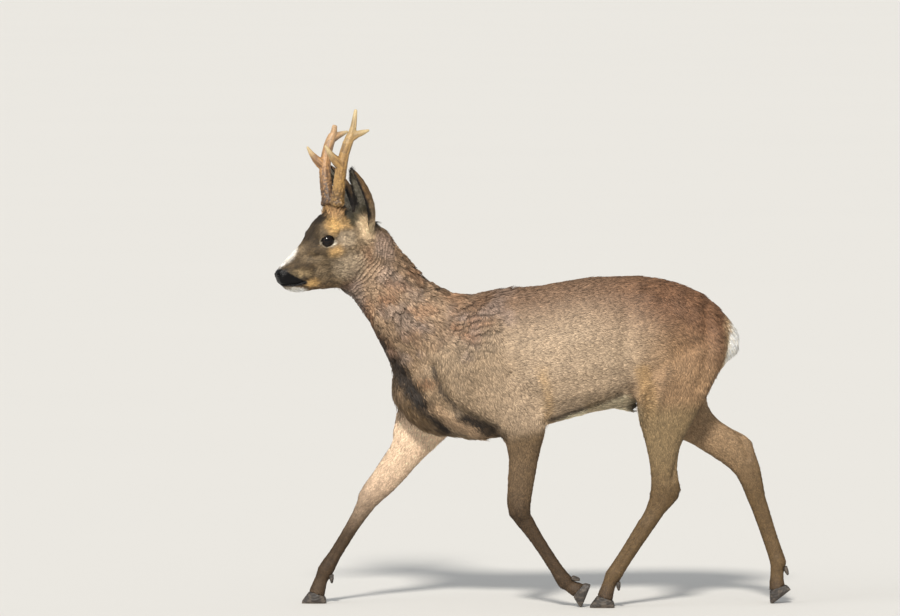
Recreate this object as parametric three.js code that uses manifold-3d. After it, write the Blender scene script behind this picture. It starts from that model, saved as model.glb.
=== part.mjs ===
// A roe deer buck at life size, caught in mid stride: a still model in named pieces.
// Millimetres, +Z up. The buck faces -X and its left side is towards -Y.
// Flesh sizes run out to the tips of the coat.
import * as THREE from 'three';
import { mergeVertices } from 'three/addons/utils/BufferGeometryUtils.js';
import Module from 'manifold-3d';

const wasm = await Module();
wasm.setup();

// ---------- Driving dimensions ----------
const GAP = 0.3; // left between two pieces that meet
const FORE_BONES = { radius: 194, cannon: 166 };
const HIND_BONES = { cannon: 205 };
const HEAD_PIVOT = [-326, -14, 732]; // behind the jaw, where the head turns on the neck
const HEAD_YAW = 20; // degrees, towards the animal's left
const HEAD_ROLL = -3; // degrees, right side lower
const EYE = { radius: 14, place: [-106.5, 33.5, 1], opening: [13, 9, 9], tilt: 12 };
const CLAW = { length: 46, height: 27, width: 17, spread: 9.6, coronet: 21 };
const DEWCLAW_LENGTH = 15;
const EAR = { width: 74, wall: 7, arc: 125, flatness: 0.75 };
const RIGHT_TOP_SHORTER = 29; // the right antler's top point is worn down

const COLOURS = {
  coat: 0x8a7258,
  antler: 0xb98a58,
  horn: 0x26211d,
  eye: 0x120d0a,
};

// ---------- Geometry helpers ----------
const radians = THREE.MathUtils.degToRad;

// A point in the animal's side plane, moved sideways by y.
const at = ([x, z], y = 0) => new THREE.Vector3(x, y, z);

// A station whose section spans two edge points in the side plane and is `width` across.
function span(front, back, width, y = 0, { egg = 0, square = 2 } = {}) {
  const centre = at(front, y).add(at(back, y)).multiplyScalar(0.5);
  const deep = at(front).sub(at(back)).multiplyScalar(0.5);
  return { centre, deep, wide: new THREE.Vector3(0, width / 2, 0), egg, square };
}

// The closed ring of a station. A positive egg makes the front or upper end the broader one,
// and square is 2 for an ellipse and more for a boxier section.
function ringOf({ centre, deep, wide, egg = 0, square = 2 }, around, grow) {
  const ring = [];
  for (let i = 0; i < around; i++) {
    const angle = (2 * Math.PI * i) / around;
    const [c, s] = [Math.cos(angle), Math.sin(angle)];
    const along = Math.sign(c) * Math.abs(c) ** (2 / square);
    const across = Math.sign(s) * Math.abs(s) ** (2 / square) * (1 + egg * along);
    const point = centre.clone();
    point.addScaledVector(deep, along * (1 + grow / deep.length()));
    point.addScaledVector(wide, across * (1 + grow / wide.length()));
    ring.push(point);
  }
  return ring;
}

function middleOf(ring) {
  const sum = new THREE.Vector3();
  ring.forEach((point) => sum.add(point));
  return sum.divideScalar(ring.length);
}

// Rings that round an end off, from the one before the end outwards, and the end's own tip.
function dome(before, end, height, angles) {
  const middle = middleOf(end);
  const out = middle.clone().sub(middleOf(before)).normalize();
  const rings = angles.map((degrees) => {
    const lift = out.clone().multiplyScalar(height * Math.sin(radians(degrees)));
    const shrink = Math.cos(radians(degrees));
    return end.map((point) => point.clone().sub(middle).multiplyScalar(shrink).add(middle).add(lift));
  });
  return { rings, tip: middle.addScaledVector(out, height) };
}

// The closed surface over a row of rings that have equally many points, with a tip at each end.
function closeRings(rings, firstTip, lastTip) {
  const around = rings[0].length;
  const points = [...rings.flat(), firstTip, lastTip];
  const [first, last] = [points.length - 2, points.length - 1];
  const faces = [];
  for (let i = 0; i < around; i++) {
    const next = (i + 1) % around;
    for (let row = 0; row < rings.length - 1; row++) {
      const [a, b] = [row * around + i, row * around + next];
      faces.push(a, b, b + around, a, b + around, a + around);
    }
    const end = (rings.length - 1) * around;
    faces.push(first, next, i, last, end + i, end + next);
  }
  return new THREE.BufferGeometry().setFromPoints(points).setIndex(faces);
}

// A smooth closed body through its stations.
function loft(stations, { steps, around, domes = [6, 6], grow = 0, coarse = false }) {
  const angles = coarse ? [45] : [30, 60];
  const rings = stations.map((station) => ringOf(station, around, grow));
  const lanes = rings[0].map((_, i) => new THREE.CatmullRomCurve3(rings.map((ring) => ring[i])));
  const body = [];
  for (let i = 0; i <= steps; i++) {
    body.push(lanes.map((lane) => lane.getPoint(i / steps)));
  }
  const start = dome(body[1], body[0], domes[0] + grow, angles);
  const end = dome(body.at(-2), body.at(-1), domes[1] + grow, angles);
  return closeRings([...start.rings.reverse(), ...body, ...end.rings], start.tip, end.tip);
}

// A rod with a round section that changes along it: each station is [x, y, z, diameter].
function rod(stations, { steps, around, domes = [3, 3], grow = 0, coarse = true }) {
  const centres = stations.map(([x, y, z]) => new THREE.Vector3(x, y, z));
  const made = stations.map(([, , , diameter], i) => {
    const ahead = centres[Math.min(i + 1, centres.length - 1)];
    const tangent = ahead.clone().sub(centres[Math.max(i - 1, 0)]).normalize();
    const wide = new THREE.Vector3(1, 0, 0).cross(tangent).normalize();
    const deep = wide.clone().cross(tangent);
    return {
      centre: centres[i],
      deep: deep.multiplyScalar(diameter / 2),
      wide: wide.multiplyScalar(diameter / 2),
    };
  });
  return loft(made, { steps, around, domes, grow, coarse });
}

function moved(geometry, { turn = 0, roll = 0, pitch = 0, to = [0, 0, 0], mirror = false }) {
  const matrix = new THREE.Matrix4().makeTranslation(...to);
  matrix.multiply(new THREE.Matrix4().makeRotationZ(radians(turn)));
  matrix.multiply(new THREE.Matrix4().makeRotationX(radians(roll)));
  matrix.multiply(new THREE.Matrix4().makeRotationY(radians(-pitch)));
  if (mirror) matrix.multiply(new THREE.Matrix4().makeScale(1, -1, 1));
  return geometry.applyMatrix4(matrix);
}

const onHead = (geometry, mirror = false) =>
  moved(geometry, { turn: HEAD_YAW, roll: HEAD_ROLL, to: HEAD_PIVOT, mirror });

// ---------- Solids ----------
function solid(geometry) {
  const bare = new THREE.BufferGeometry();
  bare.setAttribute('position', geometry.getAttribute('position'));
  bare.setIndex(geometry.index);
  const welded = mergeVertices(bare, 1e-3);
  const vertProperties = welded.attributes.position.array;
  const triVerts = new Uint32Array(welded.index.array);
  const make = () => new wasm.Manifold(new wasm.Mesh({ numProp: 3, vertProperties, triVerts }));
  const made = make();
  if (made.volume() > 0) return made;
  for (let i = 0; i < triVerts.length; i += 3) {
    [triVerts[i + 1], triVerts[i + 2]] = [triVerts[i + 2], triVerts[i + 1]];
  }
  return make();
}

const join = (solids) => solids.reduce((whole, next) => whole.add(next));
const without = (whole, solids) => solids.reduce((rest, next) => rest.subtract(next), whole);

// A plane across the side view through two points, facing the side that `keep` lies on.
function sidePlane(first, second, keep) {
  const along = at(second).sub(at(first)).normalize();
  const normal = new THREE.Vector3(-along.z, 0, along.x);
  if (normal.dot(at(keep).sub(at(first))) < 0) normal.negate();
  return { normal: normal.toArray(), offset: normal.dot(at(first)) };
}

// The part of a solid on the plane's own side, and the part on the other, a gap apart.
function parted(whole, { normal, offset }) {
  const back = normal.map((value) => -value);
  return [
    whole.trimByPlane(normal, offset + GAP / 2),
    whole.trimByPlane(back, -offset + GAP / 2),
  ];
}

// ---------- Trunk, neck and tail ----------
function trunkLoft() {
  // x, back line, belly line, width, egg: breast, shoulders, withers, ribs, loins, hips, rump
  const sections = [
    [-283, 486, 410, 60, 0],
    [-252, 530, 366, 108, -0.05],
    [-212, 576, 342, 138, -0.12],
    [-160, 616, 334, 150, -0.2],
    [-108, 634, 329, 156, -0.26],
    [-50, 638, 340, 166, -0.24],
    [20, 645, 358, 184, -0.2],
    [90, 658, 378, 198, -0.16],
    [160, 662, 393, 200, -0.1],
    [220, 662, 406, 188, -0.02],
    [280, 650, 408, 176, 0.06],
    [335, 627, 428, 152, 0.1],
    [376, 591, 476, 108, 0.05],
    [403, 552, 508, 56, 0],
  ];
  const stations = sections.map(([x, top, belly, width, egg]) =>
    span([x, top], [x, belly], width, 0, { egg, square: 2.15 }));
  return loft(stations, { steps: 18, around: 17, domes: [6, 5], coarse: true });
}

function neckLoft(grow = 0) {
  // nape, throat, width, sideways
  const sections = [
    [[-50, 604], [-240, 368], 104, 0],
    [[-128, 627], [-280, 432], 120, 0],
    [[-186, 639], [-297, 498], 112, -2],
    [[-226, 671], [-327, 548], 98, -5],
    [[-255, 707], [-356, 600], 90, -9],
    [[-277, 733], [-388, 628], 84, -13],
    [[-298, 760], [-406, 650], 76, -15],
    [[-322, 776], [-408, 686], 62, -16],
  ];
  const stations = sections.map(([nape, throat, width, y]) =>
    span(nape, throat, width, y, { egg: -0.06, square: 2.1 }));
  return loft(stations, { steps: 8, around: 16, domes: [10, 10], grow, coarse: true });
}

// The fold under the belly with its tuft.
function sheath() {
  return rod([[130, 0, 404, 16], [168, 0, 401, 26], [193, 0, 391, 15]], { steps: 3, around: 8 });
}

function tailLoft(grow = 0) {
  const stations = [
    span([372, 578], [372, 554], 20),
    span([392, 566], [384, 540], 24),
    span([405, 544], [394, 530], 18),
    span([409, 528], [402, 520], 10),
  ];
  return loft(stations, { steps: 5, around: 8, domes: [3, 3], grow, coarse: true });
}

// ---------- Head, in its own frame: origin at the pivot, nose towards -X ----------
function headLoft(grow = 0) {
  // upper edge, lower edge, width, egg, square: nose, muzzle, bridge, eyes, poll
  const sections = [
    [[-205, -57], [-195, -88], 32, 0.05, 2.4],
    [[-194, -47], [-182, -96], 37, 0.1, 2.6],
    [[-177, -28], [-160, -102], 41, 0.02, 2.5],
    [[-154, -7], [-134, -99], 47, 0.06, 2.3],
    [[-137, 17], [-106, -95], 64, 0.16, 2.2],
    [[-124, 39], [-78, -95], 84, 0.26, 2.2],
    [[-104, 56], [-50, -93], 92, 0.22, 2.2],
    [[-74, 61], [-24, -78], 88, 0.16, 2.2],
    [[-34, 56], [0, -50], 76, 0.06, 2.1],
    [[6, 37], [16, -18], 50, 0, 2],
  ];
  const stations = sections.map(([upper, lower, width, egg, square]) =>
    span(upper, lower, width, 0, { egg, square }));
  return loft(stations, { steps: 16, around: 16, domes: [4, 8], grow, coarse: true });
}

// The bony ring that carries the eye, and the cheek below it.
function faceSwell(side) {
  const place = (x, y, z, sizes) => {
    const ball = new THREE.SphereGeometry(1, 10, 8).scale(...sizes);
    return ball.translate(x, side * y, z);
  };
  return [place(-99, 17, 5, [34, 30, 26]), place(-68, 16, -44, [52, 24, 38])];
}

function pedicle(side) {
  return rod([
    [-82, side * 18, 34, 34],
    [-83, side * 25, 55, 36],
    [-82, side * 28, 70, 25],
  ], { steps: 3, around: 10, domes: [2, 0.5] });
}

function ballAt([x, y, z], radius, detail) {
  return new THREE.SphereGeometry(radius, detail, Math.round(detail * 0.7)).translate(x, y, z);
}

// ---------- Ears: a deep leaf, rolled into a cup that opens forwards and outwards ----------
// Half-width of the leaf as a share of its greatest, at even steps from base to tip.
const earOutline = new THREE.CatmullRomCurve3(
  [0.5, 0.78, 0.95, 1, 0.95, 0.8, 0.55, 0.07].map((share, i) => new THREE.Vector3(share, i, 0)));
const earShape = (t) => earOutline.getPoint(t).x;

function earGeometry({ base, tip, facing }) {
  const root = new THREE.Vector3(...base);
  const axis = new THREE.Vector3(...tip).sub(root);
  const length = axis.length();
  axis.normalize();
  const face = new THREE.Vector3(...facing).addScaledVector(axis, -axis.dot(new THREE.Vector3(...facing)));
  face.normalize();
  const across = axis.clone().cross(face);
  const [levels, lanes] = [8, 6];
  const rings = [];
  for (let row = 0; row < levels; row++) {
    const t = row / levels;
    const reach = (EAR.width / 2) * earShape(t);
    const wall = Math.min(EAR.wall, reach * 0.7);
    const roll = radians(EAR.arc + 60 * (1 - t) ** 3);
    const arc = (radius, from) => Array.from({ length: lanes }, (_, i) => {
      const angle = from * roll * (1 - (2 * i) / (lanes - 1));
      return root.clone()
        .addScaledVector(axis, length * t)
        .addScaledVector(across, Math.sin(angle / 1.45) * radius)
        .addScaledVector(face, -Math.cos(angle / 1.45) * radius * EAR.flatness);
    });
    rings.push([...arc(reach, 1), ...arc(reach - wall, -1)]);
  }
  const foot = middleOf(rings[0]).addScaledVector(axis, -3);
  return closeRings(rings, foot, root.clone().addScaledVector(axis, length).addScaledVector(face, -3));
}

// ---------- Antlers, as the right one in the head's own frame ----------
const ANTLER = {
  // x, y, z, diameter: burr, beam with its rough base, fork
  beam: [
    [-82, 28, 71, 25],
    [-81.5, 29, 76, 31],
    [-81, 30, 82, 26],
    [-81, 35, 100, 25],
    [-81, 43, 122, 24],
    [-79, 50, 148, 23],
    [-74, 54, 174, 20.5],
    [-65, 56.5, 200, 20],
    [-59, 57, 212, 17],
  ],
  front: [[-79, 50, 147, 22], [-92, 53, 160, 20], [-103, 54.5, 172, 13], [-114, 55, 189, 5]],
  top: [
    [-63, 56.6, 203, 10],
    [-59, 56.4, 212, 16.4],
    [-55, 56, 224, 14],
    [-52, 55, 240, 11],
    [-48, 53, 260, 7],
  ],
  rear: [
    [-67, 56, 196, 10],
    [-59, 57.5, 205, 17],
    [-49, 59, 211, 15.5],
    [-37, 61.5, 215, 12],
    [-25, 64, 219, 5],
  ],
};

function antlerPiece(name, side, grow = 0) {
  const [steps, around] = name === 'beam' ? [12, 9] : [4, 6];
  const stations = ANTLER[name].map(([x, y, z, size], i) => {
    const worn = name === 'top' && side > 0 ? (RIGHT_TOP_SHORTER * Math.max(0, i - 1)) / 3 : 0;
    return [x - worn * 0.25, y, z - worn, size + worn * 0.12];
  });
  return solid(onHead(rod(stations, { steps, around, domes: [1, 1.5], grow }), side < 0));
}

// ---------- Legs ----------
// Where each foot's coronet lies in the side plane, how far the heel is raised, and sideways.
const FEET = {
  foreleg_left: { side: -1, coronet: [83, 31], pitch: 68, y: 43 },
  foreleg_right: { side: 1, coronet: [-441, CLAW.coronet], pitch: 0, y: 50 },
  hindleg_left: { side: -1, coronet: [136, CLAW.coronet], pitch: 0, y: 60 },
  hindleg_right: { side: 1, coronet: [483, 30.5], pitch: 38, y: 50 },
};

const POSES = {
  foreleg_left: {
    // front edge, back edge, width, sideways: shoulder blade, shoulder, upper arm, elbow
    upper: [
      [[-112, 606], [-48, 606], 18, 28],
      [[-164, 554], [-28, 550], 36, 50],
      [[-196, 482], [0, 478], 48, 60],
      [[-186, 424], [22, 418], 52, 62],
      [[-136, 384], [25, 378], 52, 62],
      [[-82, 354], [22, 348], 48, 60],
    ],
    elbow: [-8, 383],
    radius: 7.2, // degrees forward of straight down
    forearm: [[0.37, 69, 46, 6], [0.6, 60, 39, 4], [0.8, 53, 34, 3], [1, 48, 34, 0.5]],
    cannon: -33.3,
  },
  foreleg_right: {
    upper: [
      [[-146, 598], [-78, 604], 18, 28],
      [[-218, 544], [-58, 548], 36, 50],
      [[-262, 476], [-72, 472], 48, 60],
      [[-276, 416], [-108, 404], 50, 61],
      [[-281, 376], [-150, 360], 48, 60],
      [[-287, 345], [-183, 326], 46, 58],
    ],
    elbow: [-209, 362],
    radius: 39,
    forearm: [[0.37, 75, 46, 2], [0.6, 67, 39, 0], [0.8, 58, 34, 0], [1, 47, 34, 2]],
    cannon: 31.5,
  },
  hindleg_left: {
    upper: [
      [[248, 614], [348, 594], 24, 44],
      [[226, 544], [386, 540], 46, 56],
      [[210, 482], [377, 488], 56, 60],
      [[197, 430], [356, 444], 60, 61],
      [[199, 389], [336, 403], 56, 60],
      [[210, 354], [310, 358], 52, 57],
      [[219, 324], [292, 322], 45, 55],
      [[226, 292], [286, 292], 39, 53],
      [[230, 264], [286, 262], 33, 52],
      [[230, 240], [292, 238], 32, 52],
      [[225, 210], [284, 214], 31, 52],
      [[214, 185], [267, 198], 29, 52],
    ],
    hock: [267, 236],
    cannon: 32.8,
  },
  hindleg_right: {
    upper: [
      [[250, 614], [348, 594], 24, 44],
      [[230, 544], [386, 540], 46, 56],
      [[222, 482], [382, 494], 56, 60],
      [[224, 426], [364, 456], 60, 61],
      [[240, 380], [346, 422], 58, 60],
      [[274, 339], [353, 391], 53, 58],
      [[316, 317], [373, 368], 47, 56],
      [[353, 295], [403, 349], 40, 54],
      [[384, 275], [431, 334], 35, 53],
      [[403, 256], [442, 306], 33, 52],
      [[415, 235], [456, 262], 31, 52],
      [[425, 210], [462, 222], 29, 52],
    ],
    hock: [424, 276],
    cannon: -18.5,
  },
};

// Share of the bone, depth, width and lead forwards of the bone's line, as in a forearm too.
const FORE_CANNON = [[0.13, 37, 30, 0], [0.3, 30, 24, 0], [0.6, 27, 21, 0], [0.86, 28, 23, 0]];
const HIND_CANNON = [[0.42, 36, 25, 0], [0.65, 33, 24, 0], [0.87, 32, 25, 0]];
const FETLOCK = [34, 29];
const PASTERN = [27, 26];
const CORONET = [35, 37];
const CORONET_SLOPE = 20; // degrees down towards the heel

const onwards = ([x, z], degrees, length) => [
  x - Math.sin(radians(degrees)) * length,
  z - Math.cos(radians(degrees)) * length,
];

// Stations along a bone that starts at a joint and leans forward by an angle.
function boneStations(joint, degrees, length, sizes, y) {
  return sizes.map(([share, depth, width, lead]) => {
    const place = onwards(joint, degrees, length * share);
    const front = onwards(place, degrees + 90, depth / 2 + lead);
    const back = onwards(place, degrees - 90, depth / 2 - lead);
    return span(front, back, width, y);
  });
}

function across(place, degrees, [depth, width], y) {
  return boneStations(place, degrees, 0, [[0, depth, width, 0]], y)[0];
}

// Where a leg's fetlock is, and the direction of its pastern.
function foot(name) {
  const pose = POSES[name];
  const fore = 'elbow' in pose;
  const knee = fore ? onwards(pose.elbow, pose.radius, FORE_BONES.radius) : pose.hock;
  const cannonLength = fore ? FORE_BONES.cannon : HIND_BONES.cannon;
  const fetlock = onwards(knee, pose.cannon, cannonLength);
  const { coronet } = FEET[name];
  const slope = THREE.MathUtils.radToDeg(Math.atan2(fetlock[0] - coronet[0], fetlock[1] - coronet[1]));
  return { knee, cannonLength, fetlock, coronet, slope };
}

function legLoft(name) {
  const { side, y } = FEET[name];
  const pose = POSES[name];
  const { knee, cannonLength, fetlock, coronet, slope } = foot(name);
  const fore = 'elbow' in pose;
  const inset = (share) => side * (54 + (y - 54) * share);
  const upper = pose.upper.map(([front, back, width, out]) =>
    span(front, back, width, side * out, { square: 2.2 }));
  const forearm = fore
    ? boneStations(pose.elbow, pose.radius, FORE_BONES.radius, pose.forearm, inset(0.3)) : [];
  const cannon = boneStations(knee, pose.cannon, cannonLength,
    fore ? FORE_CANNON : HIND_CANNON, inset(0.7));
  const halfway = [(fetlock[0] + coronet[0]) / 2, (fetlock[1] + coronet[1]) / 2];
  const sole = CORONET_SLOPE - FEET[name].pitch;
  const clawTop = onwards(coronet, sole - 90, 4);
  const lower = [
    across(fetlock, (pose.cannon + slope) / 2, FETLOCK, inset(0.9)),
    across(halfway, slope, PASTERN, inset(1)),
    across(clawTop, sole, CORONET, inset(1)),
    across(onwards(clawTop, sole, 8), sole, CORONET, inset(1)),
  ];
  return loft([...upper, ...forearm, ...cannon, ...lower],
    { steps: 24, around: 10, domes: [6, 1], coarse: true });
}

// One claw in its own frame: origin at the coronet's middle over a flat sole, toe towards -X.
function clawLoft() {
  const { length, height, width } = CLAW;
  // along, top, width as a share
  const sections = [
    [0.44, 0.5, 0.62], [0.3, 0.8, 0.9], [0.05, 1.15, 1], [-0.2, 0.98, 0.9], [-0.42, 0.5, 0.62],
    [-0.55, 0.22, 0.3],
  ];
  const stations = sections.map(([x, top, wide]) =>
    span([x * length, top * height], [x * length, -6], wide * width, 0, { square: 2.6 }));
  return solid(loft(stations, { steps: 3, around: 7, domes: [3, 2], coarse: true }))
    .trimByPlane([0, 0, 1], 0);
}

// The sloping plane where a claw meets the skin.
function coronetPlane(place) {
  const normal = new THREE.Vector3(0, 0, 1)
    .applyAxisAngle(new THREE.Vector3(0, 1, 0), radians(CORONET_SLOPE))
    .transformDirection(place);
  return { normal: normal.toArray(), offset: normal.dot(new THREE.Vector3(0, 0, CLAW.coronet).applyMatrix4(place)) };
}

function footPlace(name) {
  const { side, coronet, pitch, y } = FEET[name];
  return new THREE.Matrix4().makeTranslation(coronet[0], side * y, coronet[1])
    .multiply(new THREE.Matrix4().makeRotationY(radians(-pitch)))
    .multiply(new THREE.Matrix4().makeTranslation(0, 0, -CLAW.coronet));
}

function claws(name) {
  const place = footPlace(name);
  const plane = coronetPlane(place);
  return [-1, 1].map((hand) => {
    const lifted = new THREE.Matrix4().makeTranslation(0, (hand * CLAW.spread), 0).premultiply(place);
    const claw = clawLoft().transform(lifted.elements);
    return parted(claw, plane)[1].trimByPlane([0, 0, 1], 0);
  });
}

function dewclaw(name, hand, grow = 0) {
  const { side, y } = FEET[name];
  const { fetlock, slope } = foot(name);
  const behind = onwards(onwards(fetlock, slope - 90, 15), slope, 8);
  const tip = onwards(behind, slope - 28, DEWCLAW_LENGTH);
  const stations = [
    [behind[0], side * y + hand * 8, behind[1], 11],
    [(behind[0] + tip[0]) / 2, side * y + hand * 10, (behind[1] + tip[1]) / 2, 10],
    [tip[0], side * y + hand * 11, tip[1], 5],
  ];
  return solid(rod(stations, { steps: 2, around: 5, domes: [2, 1], grow }));
}

// ---------- Putting the animal together ----------
const SIDES = { left: -1, right: 1 };
const pieces = new Map();

function solidOnHead(made) {
  const matrix = new THREE.Matrix4().makeTranslation(...HEAD_PIVOT)
    .multiply(new THREE.Matrix4().makeRotationZ(radians(HEAD_YAW)))
    .multiply(new THREE.Matrix4().makeRotationX(radians(HEAD_ROLL)));
  return made.transform(matrix.elements);
}

const eyeball = (side, grow = 0) =>
  solid(ballAt([EYE.place[0], side * EYE.place[1], EYE.place[2]], EYE.radius + grow, 10));

// The almond between the lids, through which the eye shows.
function eyeOpening(side) {
  const almond = new THREE.SphereGeometry(1, 12, 6).scale(...EYE.opening).rotateY(radians(EYE.tilt));
  const [x, y, z] = EYE.place;
  return solid(almond.translate(x, side * (y + EYE.radius), z));
}

// Legs: what lies below the body is the leg, and the shoulder or haunch above it is trunk.
const LEG_CUTS = {
  foreleg_left: [[-140, 340], [40, 340], [-30, 188]],
  foreleg_right: [[-300, 354], [-150, 324], [-300, 188]],
  hindleg_left: [[190, 392], [340, 392], [250, 188]],
  hindleg_right: [[230, 368], [352, 428], [400, 238]],
};
const SOLE_CLEARANCE = 0.4;

const limbTops = [];
for (const name of Object.keys(FEET)) {
  const [below, above] = parted(solid(legLoft(name)), sidePlane(...LEG_CUTS[name]));
  const [shin] = parted(below, coronetPlane(footPlace(name)));
  const dewclawRoom = [-1, 1].map((hand) => dewclaw(name, hand, GAP));
  limbTops.push(above);
  pieces.set(name, without(shin.trimByPlane([0, 0, 1], SOLE_CLEARANCE), dewclawRoom));
}

const skull = join([
  solid(headLoft()),
  ...[-1, 1].flatMap((side) => [...faceSwell(side), pedicle(side)].map(solid)),
]);
const HEAD_CUT = [[-306, 760], [-394, 622], [-450, 688]];
const NECK_CUT = [[-128, 634], [-296, 418], [-300, 628]];
const body = join([solid(trunkLoft()), solid(sheath()), solid(neckLoft()), solidOnHead(skull), ...limbTops]);
const [headSide, headless] = parted(body, sidePlane(...HEAD_CUT));
const [neck, trunkSide] = parted(headless, sidePlane(...NECK_CUT));
const headHollows = [-1, 1].flatMap((side) => [
  solidOnHead(eyeball(side, GAP)),
  solidOnHead(eyeOpening(side)),
  antlerPiece('beam', side, GAP),
]);
pieces.set('head', without(headSide, headHollows));
pieces.set('neck', neck);
pieces.set('trunk', without(trunkSide, [solid(tailLoft(GAP))]));
pieces.set('tail', solid(tailLoft()));

const EARS = {
  left: { base: [-17, -24, 20], tip: [-77, -92, 145], facing: [-0.94, -0.2, 0.1] },
  right: { base: [-17, 24, 20], tip: [-68, 84, 158], facing: [-0.94, 0.2, 0.1] },
};
const skullRoom = solidOnHead(solid(headLoft(GAP)));
for (const [name, side] of Object.entries(SIDES)) {
  const beamRoom = antlerPiece('beam', side, GAP);
  const topRoom = antlerPiece('top', side, GAP);
  pieces.set(`eye_${name}`, solidOnHead(eyeball(side)));
  pieces.set(`ear_${name}`, solid(onHead(earGeometry(EARS[name]))).subtract(skullRoom));
  pieces.set(`antler_${name}_beam`, antlerPiece('beam', side));
  pieces.set(`antler_${name}_front_tine`, antlerPiece('front', side).subtract(beamRoom));
  pieces.set(`antler_${name}_top_tine`, antlerPiece('top', side).subtract(beamRoom));
  pieces.set(`antler_${name}_rear_tine`, without(antlerPiece('rear', side), [beamRoom, topRoom]));
}

for (const [name, { side }] of Object.entries(FEET)) {
  const pair = claws(name);
  const [inner, outer] = side < 0 ? [1, 0] : [0, 1];
  pieces.set(`${name}_hoof_inner`, pair[inner]);
  pieces.set(`${name}_hoof_outer`, pair[outer]);
  pieces.set(`${name}_dewclaw_inner`, dewclaw(name, -side));
  pieces.set(`${name}_dewclaw_outer`, dewclaw(name, side));
}

function colourOf(name) {
  if (name.startsWith('antler')) return COLOURS.antler;
  if (name.startsWith('eye')) return COLOURS.eye;
  if (name.includes('hoof') || name.includes('dewclaw')) return COLOURS.horn;
  return COLOURS.coat;
}

const deer = new THREE.Group();
for (const [name, made] of pieces) {
  const { vertProperties, triVerts } = made.getMesh();
  const geometry = new THREE.BufferGeometry();
  geometry.setAttribute('position', new THREE.BufferAttribute(vertProperties, 3));
  geometry.setIndex(new THREE.BufferAttribute(triVerts, 1));
  const roughness = name.startsWith('eye') ? 0.1 : 0.85;
  const material = new THREE.MeshStandardMaterial({ color: colourOf(name), roughness, metalness: 0 });
  const mesh = new THREE.Mesh(geometry, material);
  mesh.name = name;
  deer.add(mesh);
}

// The origin is on the floor, under the middle of the whole animal.
const extent = new THREE.Box3().setFromObject(deer);
const middle = extent.getCenter(new THREE.Vector3());
deer.position.set(-middle.x, -middle.y, -extent.min.z);

export default deer;
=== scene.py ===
"""Skin, coat, antlers, eyes, hooves and a studio for a life-size roe buck.

Sizes inside the script are in millimetres in the animal's own axes: x towards the rump,
y towards its right side, z up from the floor. The head has axes of its own, which start where
it turns on the neck. Meshes are turned to metres in the shared frame when they are made.
"""
import math

import bmesh
import bpy
import numpy as np
from bpy.props import FloatProperty, FloatVectorProperty, IntProperty, PointerProperty
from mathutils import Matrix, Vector


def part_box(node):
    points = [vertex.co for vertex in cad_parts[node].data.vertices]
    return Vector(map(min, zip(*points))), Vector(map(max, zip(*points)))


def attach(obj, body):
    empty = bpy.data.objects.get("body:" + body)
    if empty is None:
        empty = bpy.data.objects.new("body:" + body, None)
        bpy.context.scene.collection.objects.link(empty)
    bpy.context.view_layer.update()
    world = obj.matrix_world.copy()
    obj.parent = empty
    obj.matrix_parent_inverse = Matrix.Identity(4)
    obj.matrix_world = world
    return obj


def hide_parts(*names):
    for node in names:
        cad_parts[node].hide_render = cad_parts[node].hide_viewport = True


bl_info = {
    "name": "Roe buck",
    "version": (1, 0, 0),
    "blender": (4, 5, 0),
    "location": "View3D > Sidebar > Roe buck",
    "description": "Dresses the solids of a roe buck in skin, coat, antlers, eyes and hooves",
    "category": "Add Mesh",
}

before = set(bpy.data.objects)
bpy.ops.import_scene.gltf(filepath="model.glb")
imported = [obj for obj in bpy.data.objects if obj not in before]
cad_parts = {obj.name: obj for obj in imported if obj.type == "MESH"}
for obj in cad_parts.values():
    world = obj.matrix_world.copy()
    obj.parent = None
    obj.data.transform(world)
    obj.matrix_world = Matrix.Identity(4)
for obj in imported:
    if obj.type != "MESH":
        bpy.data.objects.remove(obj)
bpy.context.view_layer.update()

MM = 0.001
SIDES = {"left": -1, "right": 1}
FEET = ("foreleg_left", "foreleg_right", "hindleg_left", "hindleg_right")
FLESH = ("head", "neck", "trunk", "tail", "ear_left", "ear_right", *FEET)


# ---------- Axes ----------
def turned(axis, degrees):
    """The matrix of a turn about x or z."""
    c, s = math.cos(math.radians(degrees)), math.sin(math.radians(degrees))
    if axis == "x":
        return np.array([[1, 0, 0], [0, c, -s], [0, s, c]])
    return np.array([[c, -s, 0], [s, c, 0], [0, 0, 1]])


# Where the head turns on the neck, and how far it is turned to the left and tipped.
HEAD_PIVOT = np.array([-326.0, -14.0, 732.0])
HEAD_TURN = turned("z", 20) @ turned("x", -3)
# The middle of the right eye, in the head's axes.
EYE_CENTRE = np.array([-106.5, 33.5, 1.0])
EYE_RADIUS = 14.0


def from_head(points):
    """Points in the head's axes, taken to the animal's."""
    return np.asarray(points, float) @ HEAD_TURN.T + HEAD_PIVOT


def to_head(points):
    """Points in the animal's axes, taken to the head's."""
    return (np.asarray(points, float) - HEAD_PIVOT) @ HEAD_TURN


def on_side(point, side):
    """A point put on the left (-1) or the right (1)."""
    return np.array([point[0], abs(point[1]) * side, point[2]], float)


def box_middle(node):
    """The middle of a CAD node, in millimetres in the shared frame."""
    low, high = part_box(node)
    return np.array((low + high) / 2) / MM


# Where the animal's own zero lies in the shared frame, from an eye that both know.
SHIFT = box_middle("eye_left") - from_head(on_side(EYE_CENTRE, -1))


def to_frame(points):
    """Millimetres in the animal's axes to metres in the shared frame."""
    return (np.asarray(points, float) + SHIFT) * MM


def from_frame(points):
    """Metres in the shared frame to millimetres in the animal's axes."""
    return np.asarray(points, float) / MM - SHIFT


# ---------- Numbers over many points ----------
def unit(vectors):
    """The same directions, 1 long."""
    return vectors / np.maximum(np.linalg.norm(vectors, axis=-1, keepdims=True), 1e-9)


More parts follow.
